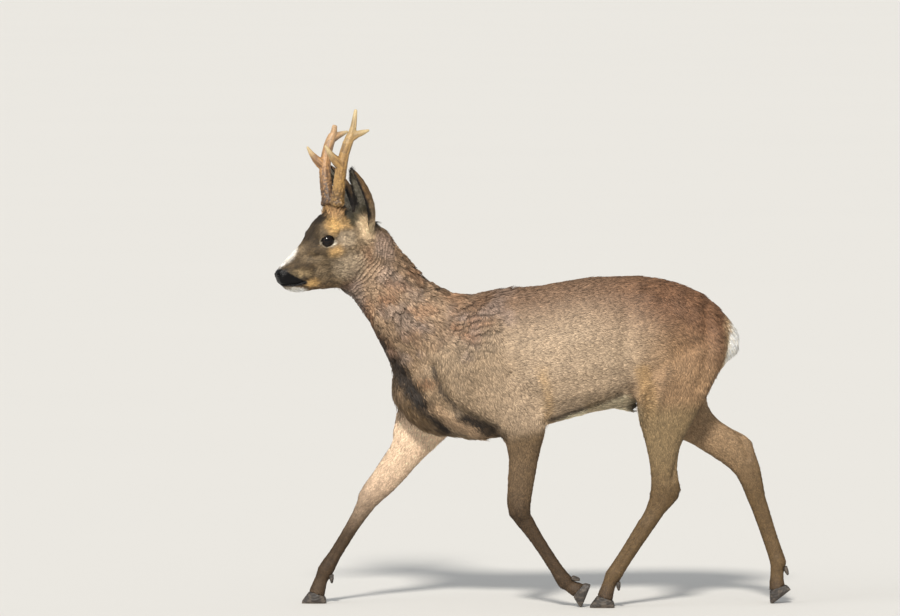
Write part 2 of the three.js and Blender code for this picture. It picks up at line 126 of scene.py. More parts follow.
def rise(low, high, values):
    """0 below low, 1 above high, smooth between. Works downwards too, with low above high."""
    t = np.clip((values - low) / (high - low), 0, 1)
    return t * t * (3 - 2 * t)


def folded(points):
    """Points of both halves laid onto the right one."""
    return np.column_stack((points[:, 0], np.abs(points[:, 1]), points[:, 2]))


def patch(points, centre, radii, soft=0.35):
    """1 inside an ellipsoid, 0 outside, over a soft edge."""
    away = np.linalg.norm((points - np.asarray(centre, float)) / np.asarray(radii, float), axis=1)
    return rise(1 + soft, 1 - soft, away)


def mixed(first, second, share):
    """The first colours, moved towards the second by each point's share."""
    return first + (second - first) * share[:, None]


def lattice(cells, seed):
    """A repeatable number from 0 to 1 for each whole-number cell."""
    x, y, z = cells.astype(np.int64).T
    mix = (x * 73856093) ^ (y * 19349663) ^ (z * 83492791) ^ (seed * 2654435761)
    mix = (mix ^ (mix >> 13)) * 1274126177
    return ((mix ^ (mix >> 16)) & 0xFFFF) / 65535.0


def cloud(points, size, seed):
    """Smooth noise from 0 to 1 with grains of a size in millimetres."""
    scaled = points / size
    base = np.floor(scaled)
    t = scaled - base
    t = t * t * (3 - 2 * t)
    total = np.zeros(len(points))
    for corner in np.ndindex(2, 2, 2):
        share = np.prod(np.where(np.array(corner) == 1, t, 1 - t), axis=1)
        total += share * lattice(base + np.array(corner), seed)
    return total


def cells(points, seed):
    """The nearest of many points strewn one to each unit of space: its distance, the distance of
    the next, and the way from the nearest."""
    base = np.floor(points)
    first, second = np.full((2, len(points)), 9.0)
    way = np.zeros_like(points)
    for step in np.ndindex(3, 3, 3):
        cell = base + np.array(step) - 1
        off = points - cell - np.column_stack([lattice(cell, seed + axis) for axis in range(3)])
        away = np.linalg.norm(off, axis=1)
        nearer = away < first
        second = np.where(nearer, first, np.minimum(second, away))
        first = np.where(nearer, away, first)
        way[nearer] = off[nearer]
    return first, second, way


def to_segment(points, start, end):
    """Distance of each point from a segment, and how far along it the nearest place is."""
    start, end = np.asarray(start, float), np.asarray(end, float)
    along = end - start
    t = np.clip(((points - start) @ along) / (along @ along), 0, 1)
    return np.linalg.norm(points - start - t[:, None] * along, axis=1), t


def to_path(points, path):
    """Distance from a row of points, the length along it, and its direction, at the nearest place."""
    best = np.full(len(points), np.inf)
    length = np.zeros(len(points))
    direction = np.zeros((len(points), 3))
    before = 0.0
    for start, end in zip(path[:-1], path[1:]):
        start, end = np.asarray(start, float), np.asarray(end, float)
        away, t = to_segment(points, start, end)
        nearer = away < best
        best[nearer] = away[nearer]
        length[nearer] = before + t[nearer] * np.linalg.norm(end - start)
        direction[nearer] = unit(end - start)
        before += np.linalg.norm(end - start)
    return best, length / before, direction


def flat_in_3d(flat):
    """Places in the side view, put on the middle plane."""
    return np.column_stack((flat[:, 0], np.zeros(len(flat)), flat[:, 1]))


def flat_path(path):
    """A path across the side view, put on the middle plane."""
    return [(x, 0, z) for x, z in path]


# ---------- The lie of the coat ----------
def head_path(*points):
    """A path in the head's axes, taken to the animal's."""
    return [from_head(point) for point in points]


# Leg bones from the body down: elbow or stifle, knee or hock, fetlock, coronet.
LEG_LINES = {
    "foreleg_left": [(-60, -60, 440), (-12, -60, 375), (-32, -52, 193), (59, -46, 54), (83, -43, 31)],
    "foreleg_right": [(-200, 60, 440), (-225, 60, 350), (-332, 52, 211), (-418, 50, 70), (-441, 50, 21)],
    "hindleg_left": [(290, -62, 500), (270, -60, 400), (262, -54, 236), (156, -58, 63), (136, -60, 21)],
    "hindleg_right": [(300, 62, 500), (290, 60, 400), (430, 54, 276), (487, 51, 80), (483, 50, 30)],
}
EARS = {
    "left": {"base": (-17, -24, 20), "tip": (-77, -92, 145), "facing": (-0.94, -0.2, 0.1)},
    "right": {"base": (-17, 24, 20), "tip": (-68, 84, 158), "facing": (-0.94, 0.2, 0.1)},
}
EAR_WIDTH = 74
# The ear's width from base to tip, as shares of its widest.
EAR_SHARES = (0.5, 0.78, 0.95, 1, 0.95, 0.8, 0.55, 0.07)
# Within this many mm of a path, the hair lies almost as the path does.
LIE_REACH = 8.0


def coat_lies():
    """Rows of (path the hair follows, hair length, degrees that it stands off the skin)."""
    lies = [
        ([(-60, 0, 636), (160, 0, 660), (320, 0, 636), (388, 0, 575)], 21, 7),
        ([(396, 0, 560), (398, 0, 500), (385, 0, 440)], 15, 4),
        ([(-120, 0, 332), (90, 0, 381), (220, 0, 405)], 22, 9),
        ([(-285, 0, 450), (-250, 0, 370), (-180, 0, 334)], 26, 12),
        ([(-300, -14, 762), (-220, -5, 668), (-128, 0, 626), (-60, 0, 630)], 27, 12),
        ([(-398, -14, 655), (-330, -6, 560), (-290, 0, 460)], 25, 12),
        ([(372, 0, 580), (400, 0, 535)], 20, 12),
        (head_path((-200, 0, -50), (-150, 0, -2), (-110, 0, 50), (-60, 0, 62)), 8, 8),
        (head_path((-200, 0, -92), (-120, 0, -98), (-40, 0, -84)), 9, 8),
    ]
    for side in SIDES.values():
        lies += [
            ([(-90, side * 68, 590), (120, side * 80, 585), (280, side * 78, 575)], 15, 7),
            ([(-30, side * 84, 500), (120, side * 96, 490), (240, side * 90, 480)], 14, 7),
            ([(0, side * 74, 410), (130, side * 84, 420), (215, side * 80, 430)], 16, 7),
            ([(270, side * 70, 610), (340, side * 70, 520), (350, side * 70, 450)], 18, 7),
            ([(-110, side * 55, 590), (-120, side * 78, 500), (-70, side * 84, 410)], 17, 8),
            ([(-200, side * 60, 520), (-190, side * 76, 430), (-120, side * 60, 350)], 19, 9),
            ([(-330, side * 38 - 12, 700), (-240, side * 50 - 5, 600), (-150, side * 60, 530)], 24, 13),
            ([(-375, side * 34 - 13, 655), (-310, side * 48 - 5, 560), (-230, side * 60, 450)], 23, 12),
            (head_path((-190, side * 17, -60), (-140, side * 30, -30), (-110, side * 42, -28),
                       (-60, side * 44, -10)), 7, 8),
            (head_path((-180, side * 18, -82), (-110, side * 36, -60), (-50, side * 44, -45),
                       (0, side * 38, -30)), 11, 11),
            (head_path((-150, side * 16, 6), (-122, side * 36, 20), (-80, side * 42, 30)), 7, 8),
            (head_path((-92, side * 22, 44), (-82, side * 27, 70)), 18, 34),
        ]
    for ear in EARS.values():
        lies.append((head_path(ear["base"], ear["tip"]), 8, 8))
    for line in LEG_LINES.values():
        lies += [(line[:2], 16, 7), (line[1:3], 9, 6), (line[2:4], 6.5, 6), (line[3:], 5, 6)]
    return lies


def read_coat(points):
    """The hair's direction, length and lift at each point, shared out by nearness."""
    total = np.zeros(len(points))
    flow = np.zeros((len(points), 3))
    length = np.zeros(len(points))
    lift = np.zeros(len(points))
    for path, hair, stands in coat_lies():
        away, _, direction = to_path(points, path)
        weight = 1 / (away**2 + LIE_REACH**2) ** 2
        total += weight
        flow += direction * weight[:, None]
        length += hair * weight
        lift += stands * weight
    return unit(flow), length / total, lift / total


# ---------- Regions ----------
def beyond(points, first, second, keep):
    """How far each point is past a plane across the side view, on the side that `keep` lies on."""
    along = np.array([second[0] - first[0], second[1] - first[1]], float)
    normal = np.array([-along[1], along[0]]) / np.linalg.norm(along)
    if normal @ (np.array(keep, float) - first) < 0:
        normal = -normal
    return (points[:, [0, 2]] - np.array(first, float)) @ normal


# Each leg's top: two points of a line across the side view, and one point below it.
LEG_CUTS = {
    "foreleg_left": ((-140, 340), (40, 340), (-30, 188)),
    "foreleg_right": ((-300, 354), (-150, 324), (-300, 188)),
    "hindleg_left": ((190, 392), (340, 392), (250, 188)),
    "hindleg_right": ((230, 368), (352, 428), (400, 238)),
}
# How far each leg reaches along x.
LEG_SPANS = {
    "foreleg_left": (-110, 130),
    "foreleg_right": (-520, -130),
    "hindleg_left": (90, 340),
    "hindleg_right": (215, 560),
}


def past_head_cut(points):
    """How far each point is in front of the line where the head joins the neck."""
    return beyond(points, (-306, 760), (-394, 622), (-450, 688))


def past_neck_cut(points):
    """How far each point is in front of the line where the neck joins the trunk."""
    return beyond(points, (-128, 634), (-296, 418), (-300, 628))


def in_leg(points, name):
    """How far below its leg's top each point is, in mm, or far above it where it's another limb's."""
    side = SIDES[name.split("_")[1]]
    low, high = LEG_SPANS[name]
    depth = beyond(points, *LEG_CUTS[name])
    elsewhere = (points[:, 1] * side < 8) | (points[:, 0] < low) | (points[:, 0] > high)
    return np.where(elsewhere, -200.0, depth)


def ear_axes(side):
    """The ear's base, its length, and its directions along, across and out of its opening."""
    ear = EARS[side]
    base, tip = np.array(ear["base"], float), np.array(ear["tip"], float)
    axis = unit(tip - base)
    facing = np.array(ear["facing"], float)
    facing = unit(facing - axis * (facing @ axis))
    return base, np.linalg.norm(tip - base), axis, np.cross(axis, facing), facing


def ear_place(points, side):
    """Along the ear from 0 to 1, across it from -1 to 1, forwards of its axis, and past the skull."""
    base, size, axis, across, facing = ear_axes(side)
    off = to_head(points) - base
    along = off @ axis / size
    shares = np.interp(along, np.linspace(0, 1, len(EAR_SHARES)), EAR_SHARES)
    outwards = off @ across / (EAR_WIDTH / 2 * shares)
    near = rise(1.5, 1.2, np.abs(outwards)) * rise(40, 30, np.abs(off @ facing))
    return along, outwards, off @ facing, near * rise(0.10, 0.20, along)


def ear_hollow(points, normals, side):
    """Where the skin faces into the ear's cup."""
    base, _, axis, _, facing = ear_axes(side)
    off = to_head(points) - base
    away = unit(off - np.outer(off @ axis, axis) + 3 * facing)
    return rise(0.2, -0.2, np.sum(away * (normals @ HEAD_TURN), axis=1))


# ---------- Meshes ----------
def read_mesh(mesh):
    """Vertices in millimetres in the animal's axes, vertex normals, and triangles."""
    points = np.empty(len(mesh.vertices) * 3, np.float32)
    mesh.vertices.foreach_get("co", points)
    normals = np.empty(len(mesh.vertices) * 3, np.float32)
    mesh.vertices.foreach_get("normal", normals)
    mesh.calc_loop_triangles()
    triangles = np.empty(len(mesh.loop_triangles) * 3, np.int32)
    mesh.loop_triangles.foreach_get("vertices", triangles)
    return (
        from_frame(points.reshape(-1, 3).astype(float)),
        normals.reshape(-1, 3).astype(float),
        triangles.reshape(-1, 3),
    )


def edges_of(mesh):
    """The two vertices of each edge."""
    edges = np.empty(len(mesh.edges) * 2, np.int32)
    mesh.edges.foreach_get("vertices", edges)
    return edges.reshape(-1, 2)


def write_points(mesh, points):
    """Moves the vertices to points in the animal's axes."""
    mesh.vertices.foreach_set("co", to_frame(points).astype(np.float32).ravel())
    mesh.update()


def new_mesh(name, points, triangles):
    """A mesh of triangles from points in the animal's axes."""
    mesh = bpy.data.meshes.new(name)
    mesh.vertices.add(len(points))
    mesh.loops.add(triangles.size)
    mesh.polygons.add(len(triangles))
    mesh.loops.foreach_set("vertex_index", triangles.astype(np.int32).ravel())
    mesh.polygons.foreach_set("loop_start", np.arange(0, triangles.size, 3, dtype=np.int32))
    mesh.polygons.foreach_set("use_smooth", np.ones(len(triangles), bool))
    write_points(mesh, points)
    mesh.validate()
    return mesh


def add_object(name, mesh):
    """A new object of the scene."""
    piece = bpy.data.objects.new(name, mesh)
    bpy.context.scene.collection.objects.link(piece)
    return piece


# No hair or horn is brighter than this, in linear light.
BRIGHTEST = 0.9


def paint(mesh, name, colours):
    """A colour for each vertex, in linear light."""
    layer = mesh.color_attributes.new(name, "FLOAT_COLOR", "POINT")
    whole = np.ones((len(colours), 4), np.float32)
    whole[:, :3] = np.clip(colours, 0, BRIGHTEST)
    layer.data.foreach_set("color", whole.ravel())


def write_share(mesh, name, values):
    """A number for each vertex."""
    layer = mesh.attributes.new(name, "FLOAT", "POINT")
    layer.data.foreach_set("value", values.astype(np.float32))


def write_vectors(mesh, name, vectors):
    """A vector for each vertex."""
    layer = mesh.attributes.new(name, "FLOAT_VECTOR", "POINT")
    layer.data.foreach_set("vector", vectors.astype(np.float32).ravel())


def with_modifier(piece, kind, **settings):
    """The piece's mesh as one modifier leaves it, put in place of the old one."""
    modifier = piece.modifiers.new(kind.lower(), kind)
    for key, value in settings.items():
        setattr(modifier, key, value)
    seen = piece.evaluated_get(bpy.context.evaluated_depsgraph_get())
    mesh = bpy.data.meshes.new_from_object(seen)
    old = piece.data
    piece.modifiers.remove(modifier)
    piece.data = mesh
    bpy.data.meshes.remove(old)
    return mesh


def recast(piece, fine):
    cell = fine * MM
    return with_modifier(piece, "REMESH", mode="VOXEL", voxel_size=cell, use_smooth_shade=True)


def joined_nodes(name, nodes, swell):
    """One mesh of copies of the CAD nodes, each swollen a little so that neighbours overlap."""
    work = bmesh.new()
    for node in nodes:
        work.from_mesh(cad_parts[node].data)
    bmesh.ops.remove_doubles(work, verts=work.verts, dist=1e-6)
    bmesh.ops.recalc_face_normals(work, faces=work.faces)
    work.normal_update()
    for vertex in work.verts:
        vertex.co += vertex.normal * swell * MM
    mesh = bpy.data.meshes.new(name)
    work.to_mesh(mesh)
    work.free()
    return add_object(name, mesh)


# How far a vertex moves to its neighbours' mean in one round of smoothing, as a share.
HALF_WAY = 0.5


def relaxed(values, edges, share, rounds):
    """Values at vertices, drawn towards their neighbours' mean by a share, round after round."""
    first, second = edges.T
    count = np.bincount(edges.ravel(), minlength=len(values)).astype(float)
    out = values.copy()
    for _ in range(rounds):
        total = np.empty_like(out)
        for axis in range(3):
            total[:, axis] = np.bincount(first, out[second, axis], len(out))
            total[:, axis] += np.bincount(second, out[first, axis], len(out))
        out += (total / count[:, None] - out) * share[:, None]
    return out


def normals_of(points, triangles):
    """Vertex normals of triangles, weighted by area."""
    corners = points[triangles]
    faces = np.cross(corners[:, 1] - corners[:, 0], corners[:, 2] - corners[:, 0])
    total = np.zeros_like(points)
    for corner in range(3):
        for axis in range(3):
            total[:, axis] += np.bincount(triangles[:, corner], faces[:, axis], len(points))
    return unit(total)


# ---------- Materials ----------
def linear(code):
    """An sRGB hex colour in linear light."""
    parts = np.array([int(code[i : i + 2], 16) for i in (1, 3, 5)]) / 255
    return np.where(parts <= 0.04045, parts / 12.92, ((parts + 0.055) / 1.055) ** 2.4)


def add_node(tree, kind, inputs=None, **settings):
    """Adds a node. An input is a value, or an output socket that is linked to it."""
    node = tree.nodes.new(kind)
    for key, value in settings.items():
        setattr(node, key, value)
    for key, value in (inputs or {}).items():
        if isinstance(value, bpy.types.NodeSocket):
            tree.links.new(value, node.inputs[key])
        else:
            node.inputs[key].default_value = value
    return node


def new_material(name, **base):
    """A material with a bare tree, its shader and its object coordinates."""
    material = bpy.data.materials.new(name)
    material.use_nodes = True
    tree = material.node_tree
    tree.nodes.clear()
    shader = add_node(tree, "ShaderNodeBsdfPrincipled", inputs=base.pop("inputs", None))
    output = add_node(tree, "ShaderNodeOutputMaterial")
    tree.links.new(shader.outputs["BSDF"], output.inputs["Surface"])
    place = add_node(tree, "ShaderNodeTexCoord").outputs["Object"]
    return material, tree, shader, place


def grain(size_mm):
    """Noise scale, in grains to the metre, for a grain of a real size."""
    return 1 / (size_mm * MM)


def shade(tree, shader, colour, pattern, span, shades):
    """Colours the surface, with the pattern's span drawn as shades from dark to light."""
    share = add_node(tree, "ShaderNodeMapRange", {
        "Value": pattern, "From Min": span[0], "From Max": span[1],
        "To Min": shades[0], "To Max": shades[1]})
    tinted = add_node(
        tree, "ShaderNodeVectorMath", {0: colour, "Scale": share.outputs[0]}, operation="SCALE")
    tree.links.new(tinted.outputs[0], shader.inputs["Base Color"])


# ---------- Markings ----------
# The outlines of back and belly, across the side view.
TOP_LINE = np.array([(-160, 616), (-50, 638), (20, 645), (90, 658), (160, 662), (220, 662), (280, 651),
                     (335, 627), (376, 591), (400, 552)], float).T
BELLY_LINE = np.array([(-252, 366), (-160, 334), (-50, 340), (20, 358), (90, 378), (160, 393),
                       (240, 406)], float).T


def colour_setting(label, note, code):
    """A colour that the user can change."""
    return FloatVectorProperty(
        name=label, description=note, subtype="COLOR", size=3, min=0, max=1,
        default=tuple(linear(code)))


# Tufts of the old and the new coat on neck and withers: tone, place in the side view, and size.
NECK_SPOTS = (
    ("moult", (-366, 647), 16), ("moult", (-237, 519), 11), ("moult", (-228, 566), 15),
    ("moult", (-268, 553), 11), ("moult", (-150, 584), 15), ("moult", (-136, 510), 14),
    ("rust", (-303, 621), 14), ("rust", (-124, 545), 19), ("rust", (-218, 458), 18),
    ("rust", (-166, 566), 12),
)


def trunk_layers(points, _):
    """Rows of (tone, how much of it) for trunk and neck, each laid over the ones before."""
    x, _, z = points.T
    over = z - np.interp(x, *TOP_LINE)
    under = z - np.interp(x, *BELLY_LINE)
    neck = rise(-30, 40, past_neck_cut(points))
    patchy = cloud(points, 55, 3)
    inward = beyond(points, (-408, 686), (-240, 368), (-200, 600))
    front = np.interp(z, (430, 480, 540, 600, 680), (-20, 40, 48, 36, 18)) + 30 * (patchy - 0.5)
    layers = [
        ("shoulder", rise(20, -110, x + 40 * patchy)),
        ("haunch", rise(150, 290, x - 0.25 * z + 110 + 50 * patchy)),
        ("back", rise(-112, -14, over) * 0.95),
        ("back_rear", rise(-150, -12, over + 40 * patchy) * rise(60, 270, x)),
        # Painted shade: the breast is darker towards its underside.
        ("breast", rise(-150, -240, x) * rise(520, 400, z)),
        # Painted shade under the trunk.
        ("belly", rise(26, -6, under + 14 * patchy) * (1 - neck)),
        ("belly_pale", patch(points, (200, 0, 392), (75, 60, 26))),
        ("neck", neck),
        ("nape", neck * rise(-75, -10, beyond(points, (-128, 624), (-322, 770), (-400, 500)) * -1)),
        # Painted shade on the lower neck.
        ("breast", neck * rise(620, 470, z + 0.5 * (x + 300))),
        # Painted shade along the neck's front edge, which faces down.
        ("throat_shade", rise(0.0, 26, front - inward) * rise(700, 640, z) * rise(-150, -190, x)),
        ("moult", np.maximum(neck, patch(points, (-95, 0, 575), (75, 120, 60), 0.5))
            * rise(0.45, 0.7, cloud(points, 30, 61)) * 0.5),
        ("rust", np.maximum(neck, patch(points, (-118, 0, 560), (60, 120, 50), 0.5))
            * rise(0.5, 0.76, cloud(points, 24, 71)) * 0.35),
    ]
    for tone, (along, up), size in NECK_SPOTS:
        layers.append((tone, patch(points, (along, 0, up), (size, 120, size * 0.6), 0.7) * 0.55))
    return layers


def fold_layers(points, normals):
    """Rows of (tone, how much of it) for the folds of breast, belly, elbow and flank: painted shade in the
    folds, and painted highlights on the edges of breast and thigh.
    """
    x, y, z = points.T
    flat = flat_in_3d(points[:, [0, 2]])
    sideways = rise(0.1, 0.5, np.abs(normals[:, 1]))

    def near(low, high, *path):
        return rise(high, low, to_path(flat, flat_path(path))[0])

    fold = np.interp(x, (30, 100, 168), (376, 401, 427))
    return [
        # Painted shade in the folds between shoulder, breast and belly, and along the fold over the pale
        # belly.
        ("crease_shade", 0.8 * sideways * near(2, 10, (-204, 486), (-188, 440), (-164, 404))),
        ("crease_shade", sideways * rise(24, -4, y)
            * near(6, 24, (-286, 500), (-248, 440), (-216, 402), (-190, 362))),
        ("crease_shade", near(8, 26, (-148, 382), (-84, 352))),
        ("brisket", 0.85 * near(6, 16, (-212, 412), (-184, 384), (-142, 362), (-116, 342))),
        ("belly_pale", rise(2, -5, z - fold) * rise(20, 50, x) * rise(186, 170, x)),
        ("crease_shade", 0.8 * near(1.5, 6, (24, 374), (100, 401), (168, 427))),
        ("ochre", 0.4 * sideways * near(1, 16, (2, 480), (14, 432), (19, 385))),
        # A painted highlight on the thigh's front edge, laid in ochre.
        ("ochre", 0.5 * sideways * near(4, 22, (205, 476), (214, 446), (222, 400))),
        # Painted shade in the notch of the groin.
        ("crease_shade", patch(points, (190, 0, 404), (17, 40, 24), 0.4) * 0.9),
    ]


# The tones of a leg's upper part, its lower part and the inside of its upper part.
LEG_TONES = {"foreleg": ("forearm", "shin", "arm_inside"), "hindleg": ("thigh", "cannon", "thigh_inside")}


def leg_layers(points, normals):
    """Rows of (tone, how much of it) for the four legs."""
    layers = []
    for name in FEET:
        kind, side = name.split("_")
        upper, lower, within = LEG_TONES[kind]
        down = in_leg(points, name)
        outwards = normals[:, 1] * SIDES[side]
        inner = rise(0.25, -0.35, outwards)
        leg = rise(-50, 30, down)
        layers += [
            (upper, leg * rise(-0.3, 0.5, outwards) * 0.9),
            (lower, rise(70, 170, down)),
            (within, inner * rise(-70, -10, down) * rise(240, 60, down)),
            ("pastern", rise(70, 25, points[:, 2]) * leg),
        ]
    return layers


def rump_layers(points, _):
    """Rows of (tone, how much of it) for the rump patch."""
    return [
        ("rump_edge", patch(points, (410, 0, 530), (56, 76, 74), soft=0.25)),
        ("white", patch(points, (414, 0, 534), (44, 66, 66), soft=0.12)),
    ]


def head_layers(points, normals):
    """Rows of (tone, how much of it) for the head and ears."""
    head = to_head(points)
    x, y, z = head.T
    one_half = folded(head)

    def spot(centre, radii, soft=0.35):
        return patch(one_half, centre, radii, soft)

    here = rise(-4, 26, past_head_cut(points))
    crown = rise(10, 40, z + 0.55 * (x + 110))
    layers = [
        ("cheek", here),
        ("muzzle", here * rise(-84, -124, x + 0.3 * z)),
        ("grizzle", here * rise(-84, -124, x + 0.3 * z) * rise(0.4, 0.65, cloud(one_half, 13, 33)) * 0.6),
        ("jaw", here * rise(-68, -92, z - 0.12 * (x + 110)) * rise(-60, -110, x)),
        ("forehead", here * crown * rise(30, 12, np.abs(y))),
        ("forehead", spot((-128, 0, 22), (34, 22, 34)) * 0.7),
        ("forehead", spot((-108, 0, 50), (24, 34, 20), 0.5)),
        ("forehead", spot((-135, 30, 6), (11, 30, 17), 0.6) * 0.4),
        ("buff", spot((-168, 18, -66), (24, 12, 8)) * 0.7),
        ("tan", spot((-98, 40, 27), (15, 30, 15), 0.5) * 0.9),
        ("tan", spot((-74, 40, 36), (28, 30, 13), 0.5) * 0.5),
        ("tan", spot((-94, 40, -22), (15, 26, 11), 0.6) * 0.7),
        ("tan", spot((-138, 22, -84), (14, 16, 8), 0.5) * 0.75),
        ("cheek_pale", spot((-70, 44, 4), (20, 24, 16)) * 0.6),
        ("cheek_pale", spot((-60, 40, -52), (40, 30, 26), 0.5) * 0.6),
        ("frill", rise(38, 50, z) * spot((-82, 25, 60), (32, 26, 26), 0.3)),
        ("white", spot((-180, 0, -36), (28, 12, 26), 0.25)),
        ("white", spot((-174, 0, -107), (34, 26, 18), 0.12)),
        ("pale_line", spot((-108.2, 44, -2.2), (15.2, 26, 11.6), 0.12)),
    ]
    for side, sign in SIDES.items():
        along, across, forwards, ear = ear_place(points, side)
        inside = ear_hollow(points, normals, side)
        edge = np.maximum(rise(-7, -4, forwards), rise(0.9, 0.97, np.abs(across)) * inside)
        strands = rise(0.4, 0.62, cloud(np.column_stack((along * 2.2, across * 4.5, 0 * along)), 1, 64))
        layers += [
            ("ear_base", patch(head, np.array([-20, sign * 36, 34]), (24, 24, 36))),
            ("ear_back", ear * rise(0.28, 0.6, along)),
            # Dark skin inside the ear; at the foot of its cup, below the pale hair, this is painted shade in
            # the ear's opening.
            ("ear_dark", ear * inside),
            ("ear_hair", ear * inside * rise(0.96, 0.88, np.abs(across)) * rise(0.2, 0.34, along) * strands),
            ("ear_rim", ear * np.maximum(edge * rise(0.2, 0.32, along), rise(0.86, 0.97, along))),
        ]
    return layers


# The black of nose and upper lip in the head's side view: its middle line and half its height.
NOSE_BAND = ((-210, -67), (-195, -72), (-172, -79), (-156, -82), (-146, -82))
NOSE_REACH = (17, 16.5, 12.5, 8.5, 3.5)
# Where the muzzle starts, along the head.
MUZZLE_START = -140


def bare_face(points):
    """How bare and moist the skin is at each point: the nose, the lips and the lids' edges."""
    head = to_head(points)
    away, run, _ = to_path(flat_in_3d(head[:, [0, 2]]), flat_path(NOSE_BAND))
    nose = rise(1.2, -1.2, away - np.interp(run, np.linspace(0, 1, len(NOSE_REACH)), NOSE_REACH))
    nose *= rise(0, -6, head[:, 0] - MUZZLE_START) * (past_head_cut(points) > 0)
    return np.maximum(nose, rise(1.22, 1.08, lid_place(points)))


def eye_layers(points, _):
    """Rows of (tone, how much of it) for the dark lids and the line down from the tear duct."""
    tear, _ = to_segment(folded(to_head(points)), (-124, 38, -4), (-136, 30, -22))
    return [
        ("black", rise(1.34, 1.25, lid_place(points))),
        ("black", rise(4, 1.8, tear) * 0.7),
    ]


def marked(points, normals, tones):
    """The coat's colour at each point, in linear light."""
    colours = np.tile(tones["flank"], (len(points), 1))
    for layers in (trunk_layers, fold_layers, leg_layers, rump_layers, head_layers, eye_layers):
        for tone, share in layers(points, normals):
            colours = mixed(colours, tones[tone], np.clip(share, 0, 1))
    return mixed(colours, tones["black"], np.clip(bare_face(points), 0, 1))


# Each row: the way the locks lie, their length, width and depth from side to side in mm, and a seed.
NECK_LOCKS = ((0.62, 0.0, -0.78), (30.0, 11.0, 16.0), 11)
WITHERS_LOCKS = ((0.96, 0.0, -0.28), (27.0, 7.0, 13.0), 31)
# From one shingle of the cheek's coat to the next, and the place that they ring.
RIPPLE = 8.0
RIPPLE_CENTRE = np.array([-400.0, -50.0, 716.0])


def clumps(points, kind):
    """Locks of hair. Returns how deep in a parting each point is, how near a lock's tip, how many mm
    of its lock lie beyond it, and the way to the lock's middle line."""
    way, size, seed = kind
    axes = np.array([way, (-way[2], 0.0, way[0]), (0.0, 1.0, 0.0)])
    warped = points + 9 * np.column_stack([cloud(points, 30, seed + step) for step in (1, 2, 3)])
    first, second, off = cells(warped @ axes.T / size, seed)
    edge = rise(0.22, 0.03, second - first)
    tip = rise(-0.5, 0.45, off[:, 0]) * (1 - edge)
    inwards = -(off * (0, 1, 1) * size) @ axes
    # The parting is painted as shade, deepest just beyond a lock's tip.
    edge *= 0.3 + 0.7 * rise(0.0, 0.4, off[:, 0])
    return edge, tip, (0.5 - off[:, 0]) * size[0], inwards


def ripples(points):
    """The cheek's coat, which stands in shingles one behind the other, as `clumps` returns it."""
    away = np.linalg.norm((points - RIPPLE_CENTRE)[:, [0, 2]], axis=1)
    away += 0.3 * np.abs(points[:, 1] - RIPPLE_CENTRE[1])
    phase = away / RIPPLE + 2.4 * cloud(points, 32, 17) + 0.8 * cloud(points, 14, 18)
    saw = phase - np.floor(phase)
    broken = rise(0.34, 0.6, cloud(points, 15, 19)) * (0.4 + 0.6 * rise(0.35, 0.6, cloud(points, 40, 20)))
    # The dark line at the start of each shingle is painted shade under the one before it.
    return rise(0.34, 0.05, saw) * broken, saw, (1 - saw) * RIPPLE, np.zeros_like(points)


def locks(points):
    """The moulting coat of cheek, neck and withers: as `clumps`, and how strongly the locks show."""
    head = to_head(points)
    cheek = 0.3 * rise(-108, -80, head[:, 0]) + 0.7 * rise(-66, -34, head[:, 0])
    cheek *= rise(22, -12, head[:, 2])
    cheek *= rise(95, 20, -past_head_cut(points)) * (ear_place(points, "left")[3] < 0.1)
    mane = rise(10, 90, past_neck_cut(points)) * rise(30, -40, past_head_cut(points))
    mane *= 0.4 + 0.6 * rise(0.45, 0.62, cloud(points, 45, 13))
    withers = patch(points, (-124, 0, 560), (58, 120, 50), 0.45)
    shares = np.array([cheek, mane * (1 - cheek) * (1 - withers), withers * (1 - cheek)])
    strength = shares.sum(axis=0)
    kinds = (ripples(points), clumps(points, NECK_LOCKS), clumps(points, WITHERS_LOCKS))
    whole = np.maximum(strength, 1e-3)
    parting, raised, left, inwards = (
        (sum(share * row.T for share, row in zip(shares, rows)) / whole).T for rows in zip(*kinds))
    return parting, raised, left, inwards, strength


# ---------- Form of the skin ----------
BODY_STROKES = [
    # side, path across the side view, half width, height in mm: bones and muscles stand, folds sink
    (0, ((-108, 596), (-140, 470), (-150, 400)), 18, 2.5),
    (0, ((-58, 596), (-62, 500), (-40, 430)), 18, -1.4),
    (0, ((-206, 490), (-188, 440), (-160, 402), (-84, 360)), 12, -7),
    (-1, ((-290, 492), (-244, 436), (-212, 402), (-184, 360)), 13, -5),
    (0, ((-218, 420), (-184, 384), (-142, 360), (-112, 342)), 11, 5),
    (0, ((24, 374), (100, 401), (168, 427)), 7, -3),
    (0, ((-345, 640), (-270, 520), (-240, 440)), 12, -2.5),
    (0, ((205, 632), (225, 622)), 20, 3.5),
    (0, ((182, 590), (178, 500), (200, 430)), 20, -2.5),
    (0, ((250, 560), (270, 470)), 34, 4),
    (0, ((338, 610), (342, 520), (330, 450)), 13, -3),
    (-1, ((300, 330), (276, 262)), 7, -5),
    (-1, ((-52, 470), (4, 400)), 10, -3),
    (-1, ((-38, 186), (44, 66)), 4, -1.6),
    (-1, ((246, 214), (166, 78)), 4, -1.6),
    (-1, ((262, 244), (270, 230)), 9, 2),
    (-1, ((-30, 200), (-28, 186)), 9, 1.5),
    (1, ((408, 352), (428, 296)), 7, -5),
    (1, ((440, 262), (484, 100)), 4, -1.6),
    (1, ((-345, 196), (-408, 86)), 4, -1.6),
    (1, ((-332, 218), (-338, 204)), 9, 1.5),
]
